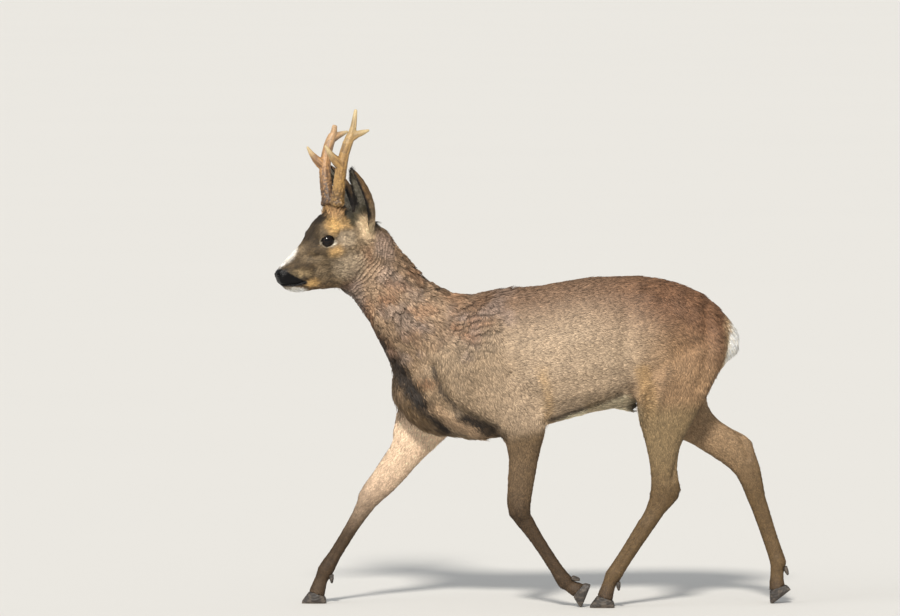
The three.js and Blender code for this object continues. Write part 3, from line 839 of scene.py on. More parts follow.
HEAD_STROKES = [
    # path in the head's side view, half width, height in mm
    (((-130, 14), (-108, 20), (-84, 16)), 7, 2.6),  # brow
    (((-132, -22), (-96, -26), (-56, -14)), 8, 1.8),  # cheek bone
    (((-150, -34), (-126, -30)), 8, -2.6),  # hollow in front of the eye
    (((-124, -52), (-84, -64)), 14, -2.2),  # hollow of the cheek
    (((-108, -92), (-52, -74), (-22, -44)), 9, 2.0),  # edge of the jaw
    (((-62, 16), (-40, 4)), 10, -2.2),  # temple
    (((-196, -62), (-176, -44), (-150, -26)), 6, -1.4),  # side of the nose bone
    (((-203, -86), (-186, -88), (-166, -86), (-146, -80)), 1.7, -2.6),  # mouth
    (((-196, -79), (-170, -80)), 5, 1.2),  # upper lip
]
NOSTRIL = {"place": (-205.0, 11.5, -66.0), "size": (4.6, 4.0, 3.0), "depth": 5.5}
# Half the length and half the height of the lids' opening, as shares of the eye's radius.
LID_SPAN = (0.68, 0.37)
# How far the lids stand off the eyeball, how much their ridge adds, and how far the opening sinks.
LID_THICKNESS, LID_RIDGE, LID_OPENING = 1.5, 0.9, 3.5
# A place too far from both eyes to belong to a lid.
NO_LID = 9.0
# The bare rims of the lids: half their breadth, half their thickness, and how far they stand off the
# eyeball.
RIM_BREADTH, RIM_THICKNESS, RIM_RISE = 1.0, 0.8, 0.7
# The depth of a coat that lies flat, as a share of the hair's length.
FLAT_COAT = 0.08


def eye_axes(side):
    """The eye's outward direction, and the long and short axes of the opening of its lids."""
    outward = unit(np.array([-0.30, side * 1.0, 0.06]))
    long = unit(np.array([1.0, 0.0, math.tan(math.radians(10))]) - outward * outward[0])
    long = unit(long - outward * (long @ outward))
    short = np.cross(outward, long) * -side
    return outward, long, short * np.sign(short[2])


def lid_place(points):
    """1 at the edge of the lids, less inside their opening and more outside."""
    head = to_head(points)
    lid = np.full(len(points), NO_LID)
    for side in SIDES.values():
        outward, long, short = eye_axes(side)
        off = head - on_side(EYE_CENTRE, side)
        away = np.linalg.norm(off, axis=1)
        ray = off / np.maximum(away, 1e-6)[:, None]
        near = (ray @ outward > 0.05) & (away < 34)
        across, up = ray @ long, ray @ short
        value = np.sqrt((across / LID_SPAN[0]) ** 2 + (up / LID_SPAN[1]) ** 2)
        lid[near] = value[near]
    return lid


def shaped_lids(points):
    """Draws the skin over the eyeball, with a lid that stands proud of it and an open almond."""
    lid = lid_place(points)
    head = to_head(points)
    out = head.copy()
    for side in SIDES.values():
        centre = on_side(EYE_CENTRE, side)
        off = head - centre
        away = np.linalg.norm(off, axis=1)
        here = (lid < NO_LID) & (head[:, 1] * side > 0)
        thick = EYE_RADIUS + LID_THICKNESS + LID_RIDGE * np.exp(-((lid - 1.28) ** 2) / 0.02)
        wanted = np.where(lid < 1, EYE_RADIUS - LID_OPENING, thick)
        share = rise(1.95, 1.25, lid)
        radius = away + (wanted - away) * share
        out[here] = (centre + off / np.maximum(away, 1e-6)[:, None] * radius[:, None])[here]
    return from_head(out)


def sculpted(points, normals):
    """Heights in mm that bones, muscles and folds add to the skin."""
    height = np.zeros(len(points))
    side = np.sign(points[:, 1])
    flat = flat_in_3d(points[:, [0, 2]])
    body = rise(10, -20, past_head_cut(points))
    sideways = rise(0.1, 0.5, np.abs(normals[:, 1]))
    for which, path, half_width, rises in BODY_STROKES:
        away, _, _ = to_path(flat, flat_path(path))
        here = body * sideways * ((side == which) if which else 1)
        height += here * rises * np.exp(-((away / half_width) ** 2))
    head = to_head(points)
    flat = flat_in_3d(head[:, [0, 2]])
    facing = rise(0.0, 0.35, np.abs(normals @ HEAD_TURN[:, 1]))
    for path, half_width, rises in HEAD_STROKES:
        away, _, _ = to_path(flat, flat_path(path))
        height += (1 - body) * facing * rises * np.exp(-((away / half_width) ** 2))
    return height


def nostrils(points):
    """Heights in mm that sink the skin into the nostrils and raise their rims."""
    off = (folded(to_head(points)) - NOSTRIL["place"]) / np.array(NOSTRIL["size"])
    away = np.linalg.norm(off, axis=1)
    return 1.1 * np.exp(-((away - 1.35) ** 2) / 0.12) - NOSTRIL["depth"] * np.exp(-(away**4))


def split_near(mesh, chosen):
    """Halves the edges whose two ends are both chosen."""
    work = bmesh.new()
    work.from_mesh(mesh)
    work.verts.ensure_lookup_table()
    edges = [e for e in work.edges if chosen[e.verts[0].index] and chosen[e.verts[1].index]]
    bmesh.ops.subdivide_edges(work, edges=edges, cuts=1, use_grid_fill=True)
    bmesh.ops.triangulate(work, faces=work.faces)
    work.to_mesh(mesh)
    work.free()


def face_only(points, margin=0.0):
    """Points of the muzzle, lips and eyes, where the forms are small."""
    head = to_head(points)
    muzzle = (head[:, 0] < MUZZLE_START + margin) & (np.abs(head[:, 1]) < 45)
    return (past_head_cut(points) > 0) & (muzzle | (lid_place(points) < 2.1))


def inset_of(length, lift):
    """How far the skin lies under the tips of the coat, in mm. Even a flat coat has some depth."""
    return length * (np.sin(np.radians(lift)) + FLAT_COAT)


def lid_rims():
    """The dark bare edges of the lids: two rings, as points and triangles."""
    points, triangles = [], []
    around, ring = 56, 8
    for side in SIDES.values():
        outward, long, short = eye_axes(side)
        centre = on_side(EYE_CENTRE, side)
        start = len(points)
        for i in range(around):
            turn = 2 * math.pi * i / around
            across, up = LID_SPAN[0] * math.cos(turn), LID_SPAN[1] * math.sin(turn)
            ray = unit(long * across + short * up + outward * math.sqrt(max(0.0, 1 - across**2 - up**2)))
            outwards = unit(long * across / LID_SPAN[0] ** 2 + short * up / LID_SPAN[1] ** 2)
            outwards = unit(outwards - ray * (outwards @ ray))
            for j in range(ring):
                lean = 2 * math.pi * j / ring
                offset = outwards * (RIM_BREADTH * math.cos(lean) + 0.4)
                offset = offset + ray * (RIM_THICKNESS * math.sin(lean))
                points.append(centre + ray * (EYE_RADIUS + RIM_RISE) + offset)
        for i in range(around):
            for j in range(ring):
                a, b = start + i * ring + j, start + i * ring + (j + 1) % ring
                c, d = (start + ((i + 1) % around) * ring + k for k in (j, (j + 1) % ring))
                triangles += [(a, c, b), (b, c, d)] if side < 0 else [(a, b, c), (b, d, c)]
    return from_head(np.array(points)), np.array(triangles)


# ---------- Materials of the animal ----------
def streaks(tree, place, size_mm, along):
    """Noise drawn out along the hair, with a grain of a real size across it."""
    lie = add_node(tree, "ShaderNodeAttribute", attribute_name="lie").outputs["Vector"]
    run = add_node(tree, "ShaderNodeVectorMath", {0: place, 1: lie}, operation="DOT_PRODUCT")
    back = add_node(tree, "ShaderNodeMath", {0: run.outputs["Value"], 1: 1 - 1 / along}, operation="MULTIPLY")
    pull = add_node(tree, "ShaderNodeVectorMath", {0: lie, "Scale": back.outputs[0]}, operation="SCALE")
    drawn = add_node(tree, "ShaderNodeVectorMath", {0: place, 1: pull.outputs[0]}, operation="SUBTRACT")
    return add_node(
        tree, "ShaderNodeTexNoise",
        {"Vector": drawn.outputs[0], "Scale": grain(size_mm), "Detail": 3.0, "Roughness": 0.6},
    ).outputs["Fac"]


def hide_material():
    """Tanned deer hide with its short coat on, over a mannequin; the nose and lips are varnished.

    The coat gives the eye fine streaks along the lie of the hair and next to no gloss, and the
    varnish gives a pebbled, moist black.
    """
    material, tree, shader, place = new_material("tanned_hide", inputs={"IOR": 1.5})
    coat = add_node(tree, "ShaderNodeAttribute", attribute_name="coat").outputs["Color"]
    bare = add_node(tree, "ShaderNodeAttribute", attribute_name="bare").outputs["Fac"]
    # One hair is 0.1 mm thick; the streaks are drawn 0.9 mm wide so that they show.
    hair = streaks(tree, place, 0.9, 9.0)
    shade(tree, shader, coat, hair, (0.3, 0.7), (0.62, 1.22))
    gloss = add_node(tree, "ShaderNodeMapRange", {"Value": bare, "To Min": 0.78, "To Max": 0.34})
    tree.links.new(gloss.outputs[0], shader.inputs["Roughness"])
    dull = add_node(tree, "ShaderNodeMapRange", {"Value": bare, "To Min": 0.5, "To Max": 0.12})
    tree.links.new(dull.outputs[0], shader.inputs["Specular IOR Level"])
    # The pebbles of a deer's nose are about 1.3 mm across.
    pebbles = add_node(
        tree, "ShaderNodeTexVoronoi", {"Vector": place, "Scale": grain(1.3)}, feature="SMOOTH_F1"
    ).outputs["Distance"]
    # Sockets 2 and 3 of a mix are its two numbers.
    relief = add_node(tree, "ShaderNodeMix", {0: bare, 2: hair, 3: pebbles})
    bump = add_node(
        tree, "ShaderNodeBump", {"Height": relief.outputs[0], "Distance": 0.0006, "Strength": 0.8})
    tree.links.new(bump.outputs[0], shader.inputs["Normal"])
    return material


def hair_material():
    """Guard hair of a roe deer's greying spring coat, brushed by the wind but not groomed.

    Each hair is a hollow, brittle tube, so the coat gives a dry, faint sheen and hardly a highlight.
    """
    material, tree, shader, place = new_material(
        "guard_hair", inputs={"IOR": 1.55, "Roughness": 0.66, "Specular IOR Level": 0.35})
    coat = add_node(tree, "ShaderNodeAttribute", attribute_name="coat").outputs["Color"]
    # One hair is 0.1 mm thick; the streaks are drawn 1.3 mm wide so that they show from afar.
    hair = streaks(tree, place, 1.3, 8.0)
    shade(tree, shader, coat, hair, (0.3, 0.7), (0.66, 1.28))
    bump = add_node(tree, "ShaderNodeBump", {"Height": hair, "Distance": 0.0004, "Strength": 0.5})
    tree.links.new(bump.outputs[0], shader.inputs["Normal"])
    return material


# ---------- Coat ----------
COAT_REGIONS = (
    "head_left", "head_right", "ears", "neck_left", "neck_right", "shoulder_left", "shoulder_right",
    "flank_left", "flank_right", "haunch_left", "haunch_right", *FEET,
)
# Where the shoulder ends and where the haunch begins.
SHOULDER_END, HAUNCH_START = -10, 200
# A piece of coat has to stay under this many triangles.
PIECE_LIMIT = 200000
# Brightness of a tuft at its root, its two edges, its ridge and its tip. A guard hair is dark at its
# root and pale under its tip, and its tip is darkened on its own.
TUFT_SHADES = (0.60, 1.12, 1.12, 1.22, 1.15)
# Shares of a tuft's length: where its edges and its ridge stand, its bend, and the droop of its tip.
TUFT_EDGE, TUFT_RIDGE, TUFT_BEND, TUFT_DROOP = 0.42, 0.5, 0.12, 0.35
# The side of a tuft's patch on the map, as a share of the map.
TUFT_PATCH = 0.003
# The narrowest and the widest tuft in mm, and how far tufts stray from the lie of the coat.
TUFT_WIDTHS = (0.85, 2.8)
STRAY = 0.15


def region_of(points):
    """The coat piece that each point belongs to, as a place in COAT_REGIONS."""
    place = COAT_REGIONS.index
    right = (points[:, 1] > 0).astype(int)
    behind = np.where(points[:, 0] < HAUNCH_START, place("flank_left"), place("haunch_left"))
    region = np.where(points[:, 0] < SHOULDER_END, place("shoulder_left"), behind) + right
    region = np.where(past_neck_cut(points) > 0, place("neck_left") + right, region)
    for name in FEET:
        region[in_leg(points, name) > 0] = place(name)
    region = np.where(past_head_cut(points) > 0, place("head_left") + right, region)
    for side in SIDES:
        region[ear_place(points, side)[3] > 0.3] = place("ears")
    return region


def round_axis(points, centre, axis, zero):
    """A turn from 0 to 1 round an axis, and the length along it in mm."""
    axis = unit(np.array(axis, float))
    zero = unit(np.array(zero, float) - axis * (np.array(zero, float) @ axis))
    side = np.cross(axis, zero)
    off = points - centre
    return np.arctan2(off @ side, off @ zero) / (2 * math.pi) + 0.5, off @ axis


def unwrapped(points, region):
    """A place for each point on a flat unwrap of the skin's own shape, from 0 to 1 both ways."""
    name = COAT_REGIONS[region]
    if name == "ears":
        flat = np.zeros((len(points), 2))
        for place, side in enumerate(SIDES):
            along, across, forwards, _ = ear_place(points, side)
            turn = np.arctan2(forwards + 12, across * 20) / (2 * math.pi) + 0.5
            here = (points[:, 1] > HEAD_PIVOT[1]) == bool(place)
            flat[here] = np.column_stack((turn, place * 0.5 + along * 0.45))[here]
        return flat
    if name.startswith("head"):
        turn, run = round_axis(to_head(points), np.array([-100, 0, -25]), (-1, 0, -0.35), (0, 0, 1))
    elif name.startswith("neck"):
        turn, run = round_axis(points, np.array([-230, -8, 560]), (-0.62, 0, 0.78), (1, 0, 1))
    elif name in FEET:
        line = LEG_LINES[name]
        _, run, _ = to_path(points, line)
        steps = np.linalg.norm(np.diff(np.array(line, float), axis=0), axis=1)
        shares = np.concatenate(([0], np.cumsum(steps))) / steps.sum()
        centre = np.column_stack([np.interp(run, shares, axis) for axis in zip(*line)])
        off = points - centre
        return np.column_stack((np.arctan2(off[:, 1], off[:, 0]) / (2 * math.pi) + 0.5, run))
    else:
        turn, run = round_axis(points, np.array([60, 0, 500]), (1, 0, 0), (0, 0, 1))
    low, high = run.min(), run.max()
    # A left or a right piece takes half a turn, which fills the map.
    turn = turn % 0.5 * 2
    return np.column_stack((turn, (run - low) / max(high - low, 1)))


def scattered(points, triangles, density, count, chance):
    """Places over the triangles by density per mm2: the triangle of each, and its corners' shares."""
    corners = points[triangles]
    areas = np.linalg.norm(
        np.cross(corners[:, 1] - corners[:, 0], corners[:, 2] - corners[:, 0]), axis=1) / 2
    running = np.cumsum(areas * density[triangles].mean(axis=1))
    steps = (np.arange(count) + chance.random(count)) / count * running[-1]
    which = np.minimum(np.searchsorted(running, steps), len(triangles) - 1)
    first, second = chance.random((2, count))
    over = first + second > 1
    first[over], second[over] = 1 - first[over], 1 - second[over]
    return which, np.column_stack((1 - first - second, first, second))


def density_of(points, length, width):
    """Tufts to the square millimetre. A long coat is laid in more layers, and bare skin has none."""
    layers = 2.1 + 4.8 * rise(8, 17, length)
    return layers / (length * width) * rise(0.5, 0.2, bare_face(points)) * (lid_place(points) > 1.15)


def ticking(root, chance):
    """How much lighter or darker than its place each tuft is: by itself and in flecks."""
    shades = 1 + 0.17 * chance.normal(size=len(root)) + 0.34 * (cloud(root, 7, 21) - 0.5)
    shades += 0.34 * (cloud(root, 3.2, 22) - 0.5)
    face = rise(-30, 20, past_head_cut(root))
    shades += 1.1 * face * (cloud(to_head(root) * (0.4, 1, 1), 3.0, 23) - 0.5)
    neck = rise(-40, 40, past_neck_cut(root)) * (1 - face)
    shades += 0.7 * neck * (cloud(root, 16, 24) + cloud(root, 5.5, 25) - 1)
    pale = chance.random(len(root)) < 0.06
    return (shades * np.where(pale, 1.18, 1.0)).clip(0.5, 1.7)


def tuft_piece(name, roots, uv, tufts, material):
    """One mesh of folded, pointed tufts: a root, two edges, a ridge and a tip each."""
    root, normal, flow, length, width, lift, colour, depth, tick = (tufts[key][roots] for key in (
        "root", "normal", "flow", "length", "width", "lift", "colour", "depth", "tick"))
    count = len(root)
    side = unit(np.cross(normal, flow))
    rise_angle = np.radians(lift)[:, None]
    axis = flow * np.cos(rise_angle) + normal * np.sin(rise_angle)
    reach, half = length[:, None], width[:, None] / 2
    bend = tufts["bend"][roots][:, None] * side * reach * TUFT_BEND
    points = np.stack((
        root - normal * depth[:, None],
        root + axis * reach * TUFT_EDGE + side * half + bend,
        root + axis * reach * TUFT_EDGE - side * half + bend,
        root + axis * reach * TUFT_RIDGE + normal * half * 0.5 + bend,
        root + axis * reach - normal * reach * np.sin(rise_angle) * TUFT_DROOP,
    ), axis=1)
    faces = np.array([(0, 2, 3), (0, 3, 1), (2, 4, 3), (3, 4, 1)])
    triangles = (faces[None] + 5 * np.arange(count)[:, None, None]).reshape(-1, 3)
    mesh = new_mesh(name, points.reshape(-1, 3), triangles)
    leans = np.array([0, 0.55, -0.55, 0, 0])[None, :, None] * side[:, None]
    soft = unit(normal[:, None] + leans + axis[:, None] * np.array([0, 0, 0, 0, 0.3])[None, :, None])
    write_vectors(mesh, "custom_normal", soft)
    shades = np.tile(TUFT_SHADES, (count, 1))
    shades[:, 4] *= 1 - tick
    paint(mesh, "coat", (colour[:, None] * shades[:, :, None]).reshape(-1, 3))
    write_vectors(mesh, "lie", np.repeat(flow, 5, axis=0))
    spread = TUFT_PATCH * np.array([(0.5, 0), (1, 0.5), (0, 0.5), (0.5, 0.5), (0.5, 1)])
    flat = (uv[:, None] * 0.995 + spread[None]).reshape(-1, 2)[triangles.ravel()]
    layer = mesh.uv_layers.new(name="OFBake")
    layer.uv.foreach_set("vector", flat.astype(np.float32).ravel())
    mesh.materials.append(material)
    return add_object(name, mesh)


# ---------- Settings ----------
class RoeSkin(bpy.types.PropertyGroup):
    """Sizes of the skin."""

    grain: FloatProperty(
        name="Grain", description="Edge of the cells that the skin is first cast in",
        default=2.5, min=1.5, max=8, unit="LENGTH")
    smoothing: IntProperty(
        name="Smoothing", description="Rounds of smoothing where limbs join the trunk",
        default=40, min=0, max=200)
    faces: IntProperty(
        name="Triangles", description="Triangles that the skin is thinned to", default=190000, min=20000)


class RoeCoat(bpy.types.PropertyGroup):
    """Sizes and colours of the coat."""

    tufts: IntProperty(name="Tufts", description="Tufts over the whole animal", default=345000, min=1000)
    thickness: FloatProperty(
        name="Tuft width", description="Width of a tuft, as a share of its length", default=0.115,
        min=0.02, max=0.5, subtype="FACTOR")
    flank: colour_setting("Flank", "Sides of the trunk", "#a58f76")
    shoulder: colour_setting("Shoulder", "Shoulder and upper arm", "#907b62")
    haunch: colour_setting("Haunch", "Thigh and croup", "#8e7153")
    back: colour_setting("Back", "Along the spine", "#725843")
    back_rear: colour_setting("Rear of the back", "Loin and croup, where the coat is reddest", "#73533b")
    neck: colour_setting("Neck", "Sides of the neck", "#967d64")
    nape: colour_setting("Nape", "Top of the neck", "#80674f")
    # Painted shade on the breast and the lower neck.
    breast: colour_setting("Breast", "Lower neck and breast", "#705a40")
    # Painted shade on the neck's front edge.
    throat_shade: colour_setting("Throat", "Front edge of the neck", "#33261a")
    # Painted shade under the trunk.
    belly: colour_setting("Belly", "Under the trunk", "#7a6448")
    belly_pale: colour_setting("Groin", "Pale hair before the groin", "#dccdae")
    forearm: colour_setting("Forearm", "Outside of the upper foreleg", "#645039")
    shin: colour_setting("Shin", "Lower foreleg", "#443320")
    thigh: colour_setting("Thigh", "Outside of the upper hind leg", "#857050")
    cannon: colour_setting("Cannon", "Lower hind leg", "#634e32")
    pastern: colour_setting("Pastern", "Above the hooves", "#4d3c2a")
    arm_inside: colour_setting("Inside of the foreleg", "Pale hair inside the upper foreleg", "#d6b99c")
    thigh_inside: colour_setting("Inside of the hind leg", "Hair inside the upper hind leg", "#987d5e")
    # Painted shade: the dark tone laid in the folds of breast and belly and in the groin.
    crease_shade: colour_setting("Creases", "Dark hair in the folds of breast and belly", "#241a10")
    rust: colour_setting("Rust", "Tufts of the coming summer coat", "#8c6244")
    grizzle: colour_setting("Grizzle", "Grey flecks on the muzzle", "#7b6950")
    brisket: colour_setting("Brisket", "Lit edge of the breast", "#a88c6e")
    # Ochre hair at the elbow; along the thigh's front edge this tone is a painted highlight.
    ochre: colour_setting("Ochre", "Edges at elbow and flank", "#b28f5e")
    white: colour_setting("White", "Rump, chin and bridge of the nose", "#efe8dc")
    rump_edge: colour_setting("Rump edge", "Cream edge of the rump patch", "#b89c78")
    cheek: colour_setting("Cheek", "Cheek and side of the head", "#8a765c")
    cheek_pale: colour_setting("Temple", "Behind the eye", "#b2a087")
    muzzle: colour_setting("Muzzle", "Side of the muzzle", "#52422c")
    jaw: colour_setting("Jaw", "Edge and underside of the jaw", "#665139")
    forehead: colour_setting("Forehead", "Forehead and bridge", "#2a2117")
    buff: colour_setting("Buff", "Above the lip", "#9b8561")
    tan: colour_setting("Tan", "Over and under the eye", "#d4aa6c")
    frill: colour_setting("Frill", "Long hair round the antlers' feet", "#9a7850")
    ear_base: colour_setting("Ear base", "Foot of the ear", "#d8bd98")
    ear_back: colour_setting("Ear back", "Back of the ear", "#735839")
    # Dark skin inside the ear, and painted shade at the foot of its cup.
    ear_dark: colour_setting("Ear inside", "Skin inside the ear", "#4c4636")
    ear_hair: colour_setting("Ear hair", "Pale hair inside the ear", "#948d7d")
    ear_rim: colour_setting("Ear rim", "Black edge of the ear", "#16120e")
    moult: colour_setting("Moult", "Old winter hair on neck and withers", "#8f7d72")
    black: colour_setting("Black", "Nose, lips and lids", "#131213")
    pale_line: colour_setting("Pale line", "Line under the lower lid", "#cfc3ae")
    # Painted shade in the partings between locks.
    parting: colour_setting("Partings", "Depth of the partings between locks", "#2f221a")


# The settings of the coat that are colours.
TONES = [name for name in RoeCoat.__annotations__ if name not in ("tufts", "thickness")]


def tones_of(settings):
    """The coat's colours by name."""
    return {name: np.array(getattr(settings, name)) for name in TONES}


# How bright the skin is under the tufts, as a share of their colour: partly the darker underfur, partly
# painted shade between the tufts.
UNDERFUR_AND_SHADE = 0.8


# ---------- Operators ----------
class MakeSkin(bpy.types.Operator):
    """Casts one skin over the flesh, smooths its unions and shapes the face on it"""

    bl_idname = "roe.skin"
    bl_label = "Skin"

    def execute(self, context):
        settings = context.scene.roe_skin
        piece = joined_nodes("skin", FLESH, swell=0.4)
        mesh = recast(piece, fine=settings.grain)
        self.smooth_unions(mesh, settings.smoothing)
        self.sink(mesh)
        self.shape_face(mesh)
        if len(mesh.polygons) > settings.faces:
            with_modifier(piece, "DECIMATE", ratio=settings.faces / len(mesh.polygons))
        self.finish(piece, context.scene.roe_coat)
        return {"FINISHED"}

    def smooth_unions(self, mesh, rounds):
        """Rounds off the joins of limbs and trunk, less on the lower legs, and refines the head."""
        points, _, _ = read_mesh(mesh)
        fine = rise(-10, 40, past_head_cut(points))
        lower = np.maximum.reduce([rise(60, 140, in_leg(points, name)) for name in FEET])
        share = HALF_WAY * (1 - 0.9 * fine) * (1 - 0.85 * lower)
        points = relaxed(points, edges_of(mesh), share, rounds)
        write_points(mesh, points)
        split_near(mesh, past_head_cut(points) > 4)
        points, _, _ = read_mesh(mesh)
        share = HALF_WAY * rise(-10, 15, past_head_cut(points))
        write_points(mesh, relaxed(points, edges_of(mesh), share, rounds=4))

    def sink(self, mesh):
        """Lowers the skin by the coat's depth, with bones, muscles and folds worked into it."""
        points, normals, _ = read_mesh(mesh)
        _, length, lift = read_coat(points)
        depth = inset_of(length, lift) - sculpted(points, normals)
        write_points(mesh, points - normals * depth[:, None])

    def shape_face(self, mesh):
        """Works the nostrils and the lids into a finer mesh."""
        points, _, triangles = read_mesh(mesh)
        split_near(mesh, face_only(points, margin=6))
        points, _, triangles = read_mesh(mesh)
        points = relaxed(points, edges_of(mesh), HALF_WAY * face_only(points), rounds=3)
        points = points + normals_of(points, triangles) * nostrils(points)[:, None]
        write_points(mesh, shaped_lids(points))

    def finish(self, piece, coat):
        """Adds the lids' rims, the markings and the material."""
        points, _, triangles = read_mesh(piece.data)
        rims, rim_triangles = lid_rims()
        triangles = np.vstack((triangles, rim_triangles + len(points)))
        points = np.vstack((points, rims))
        old = piece.data
        mesh = piece.data = new_mesh("skin", points, triangles)
        bpy.data.meshes.remove(old)
        points, normals, _ = read_mesh(mesh)
        bare = bare_face(points)
        bare[-len(rims) :] = 1
        colours = marked(points, normals, tones_of(coat))
        parting, _, _, _, strength = locks(points)
        # Painted shade in the partings between locks.
        colours = mixed(colours, np.array(coat.parting), parting * strength)
        colours[-len(rims) :] = coat.black
        flow, _, _ = read_coat(points)
        paint(mesh, "coat", colours * UNDERFUR_AND_SHADE)
        write_share(mesh, "bare", bare)
        write_vectors(mesh, "lie", flow)
        mesh.materials.append(hide_material())
        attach(piece, "root")
        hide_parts(*FLESH)


class MakeCoat(bpy.types.Operator):
    """Lays tufts of hair over the skin, by the lie of the coat"""

    bl_idname = "roe.coat"
    bl_label = "Coat"

    def execute(self, context):
        settings = context.scene.roe_coat
        skin = bpy.data.objects["skin"].data
        tufts = self.tufts(skin, settings)
        region = region_of(tufts["root"])
        material = hair_material()
        for number, name in enumerate(COAT_REGIONS):
            roots = np.flatnonzero(region == number)
            piece = tuft_piece(
                f"coat_{name}", roots, unwrapped(tufts["root"][roots], number), tufts, material)
            if len(piece.data.polygons) >= PIECE_LIMIT:
                raise RuntimeError(f"{piece.name} has {len(piece.data.polygons)} triangles")
            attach(piece, "root")
        return {"FINISHED"}

    def tufts(self, skin, settings):
        """Where each tuft stands and how it looks, as arrays."""
        chance = np.random.default_rng(5)
        points, normals, triangles = read_mesh(skin)
        flow, length, lift = read_coat(points)
        width = np.clip(length * settings.thickness, *TUFT_WIDTHS)
        count = settings.tufts // 1
        which, shares = scattered(
            points, triangles, density_of(points, length, width), count, chance)

        def spread(values):
            corners = values[triangles[which]]
            return np.einsum("ij...,ij->i...", corners, shares)

        def along_skin(vectors):
            return unit(vectors - normal * np.sum(vectors * normal, axis=1)[:, None])

        root, normal = spread(points), unit(spread(normals))
        stray = chance.normal(size=(count, 3))
        tufts = {"root": root, "normal": normal, "bend": chance.normal(size=count)}
        parting, raised, left, inwards, strength = locks(root)
        run = along_skin(spread(flow)) + np.cross(normal, stray) * STRAY
        tufts["flow"] = along_skin(unit(run + inwards * strength[:, None] * 0.07))
        # In a moulting lock, no tuft reaches past the lock's own tip.
        size = spread(length) * (1 + 0.18 * chance.normal(size=count)).clip(0.6, 1.4)
        within = np.clip(left + 2, 2.5, size) * (1 - 0.5 * parting)
        tufts["length"] = size + (within - size) * np.clip(strength, 0, 1)
        wide = 1.0
        tufts["width"] = spread(width) * (0.8 + 0.4 * chance.random(count)) * wide
        tufts["lift"] = spread(lift) * (0.5 + chance.random(count)) + strength * 8 * raised
        tufts["depth"] = 0.3 + 0.02 * size
        tufts["root"] = root + normal * (strength * (2.6 * raised - 1.2 * parting))[:, None]
        colours = spread(marked(points, normals, tones_of(settings)))
        # Painted shade in the partings between locks.
        colours = mixed(colours, np.array(settings.parting), np.clip(parting * strength, 0, 1))
        # Painted highlight on the raised tips of the locks, and painted shade on their lower parts.
        colours *= (1 + 0.45 * strength * (raised - 0.5))[:, None]
        # The hairs of pale places have no dark tips.
        tufts["tick"] = 0.55 * rise(0.62, 0.4, colours.mean(axis=1))
        tufts["colour"] = colours * ticking(root, chance)[:, None]
        return tufts


# ---------- Eyes, antlers and hooves ----------
# Half the breadth and half the height of iris and pupil, as shares of the eye's radius.
IRIS_SPAN = (0.66, 0.66)
PUPIL_SPAN = (0.44, 0.19)


def glass_eye_material(settings):
    """A taxidermist's eye: painted glass under a polished clear dome.

    It gives a near-black brown with one small, sharp highlight, and a pupil that lies level.
    """
    material, tree, shader, place = new_material("painted_glass_eye", inputs={
        "IOR": 1.5, "Roughness": 0.3, "Specular IOR Level": 0.1,
        "Coat Weight": 1.0, "Coat Roughness": 0.04, "Coat IOR": 1.26})
    gaze = add_node(tree, "ShaderNodeAttribute", attribute_name="gaze").outputs["Vector"]
    axes = add_node(tree, "ShaderNodeSeparateXYZ", {0: gaze})

    def ellipse(across, up):
        wide = add_node(tree, "ShaderNodeMath", {0: axes.outputs[0], 1: across}, operation="DIVIDE")
        high = add_node(tree, "ShaderNodeMath", {0: axes.outputs[1], 1: up}, operation="DIVIDE")
        both = add_node(tree, "ShaderNodeCombineXYZ", {0: wide.outputs[0], 1: high.outputs[0]})
        return add_node(tree, "ShaderNodeVectorMath", {0: both.outputs[0]}, operation="LENGTH")

    # The painted fibres of the iris are about 1.1 mm apart.
    fibres = add_node(
        tree, "ShaderNodeTexNoise", {"Vector": place, "Scale": grain(1.1), "Detail": 4.0})
    # Sockets 6 and 7 of a mix are its two colours, and its colour comes out of socket 2.
    iris = add_node(tree, "ShaderNodeMix", {
        0: fibres.outputs["Fac"], 6: (*settings.iris, 1), 7: (*settings.limbus, 1)}, data_type="RGBA")
    ring = add_node(tree, "ShaderNodeMapRange", {
        "Value": ellipse(*IRIS_SPAN).outputs["Value"], "From Min": 0.8})
    edged = add_node(tree, "ShaderNodeMix", {
        0: ring.outputs[0], 6: iris.outputs[2], 7: (*settings.limbus, 1)}, data_type="RGBA")
    hole = add_node(tree, "ShaderNodeMapRange", {
        "Value": ellipse(*PUPIL_SPAN).outputs["Value"], "From Min": 0.88, "From Max": 1.04,
        "To Min": 1.0, "To Max": 0.0})
    whole = add_node(tree, "ShaderNodeMix", {
        0: hole.outputs[0], 6: edged.outputs[2], 7: (*settings.pupil, 1)}, data_type="RGBA")
    tree.links.new(whole.outputs[2], shader.inputs["Base Color"])
    return material


def antler_material():
    """Hard antler, cleaned of velvet and rubbed on bark: stained brown in the furrows, polished to
    ivory on the pearls and points. It has the dull gloss of bone."""
    material, tree, shader, place = new_material("rubbed_antler", inputs={"IOR": 1.54})
    stain = add_node(tree, "ShaderNodeAttribute", attribute_name="stain").outputs["Color"]
    # Pores and scratches of an antler are 0.3 to 1 mm; they are drawn 2.2 mm wide so that they show.
    pores = add_node(tree, "ShaderNodeTexNoise", {
        "Vector": place, "Scale": grain(2.2), "Detail": 6.0, "Roughness": 0.65}).outputs["Fac"]
    shade(tree, shader, stain, pores, (0.3, 0.72), (0.68, 1.16))
    rough = add_node(tree, "ShaderNodeMapRange", {
        "Value": pores, "From Min": 0.3, "From Max": 0.7, "To Min": 0.62, "To Max": 0.4})
    tree.links.new(rough.outputs[0], shader.inputs["Roughness"])
    bump = add_node(tree, "ShaderNodeBump", {"Height": pores, "Distance": 0.0006, "Strength": 0.7})
    tree.links.new(bump.outputs[0], shader.inputs["Normal"])
    return material


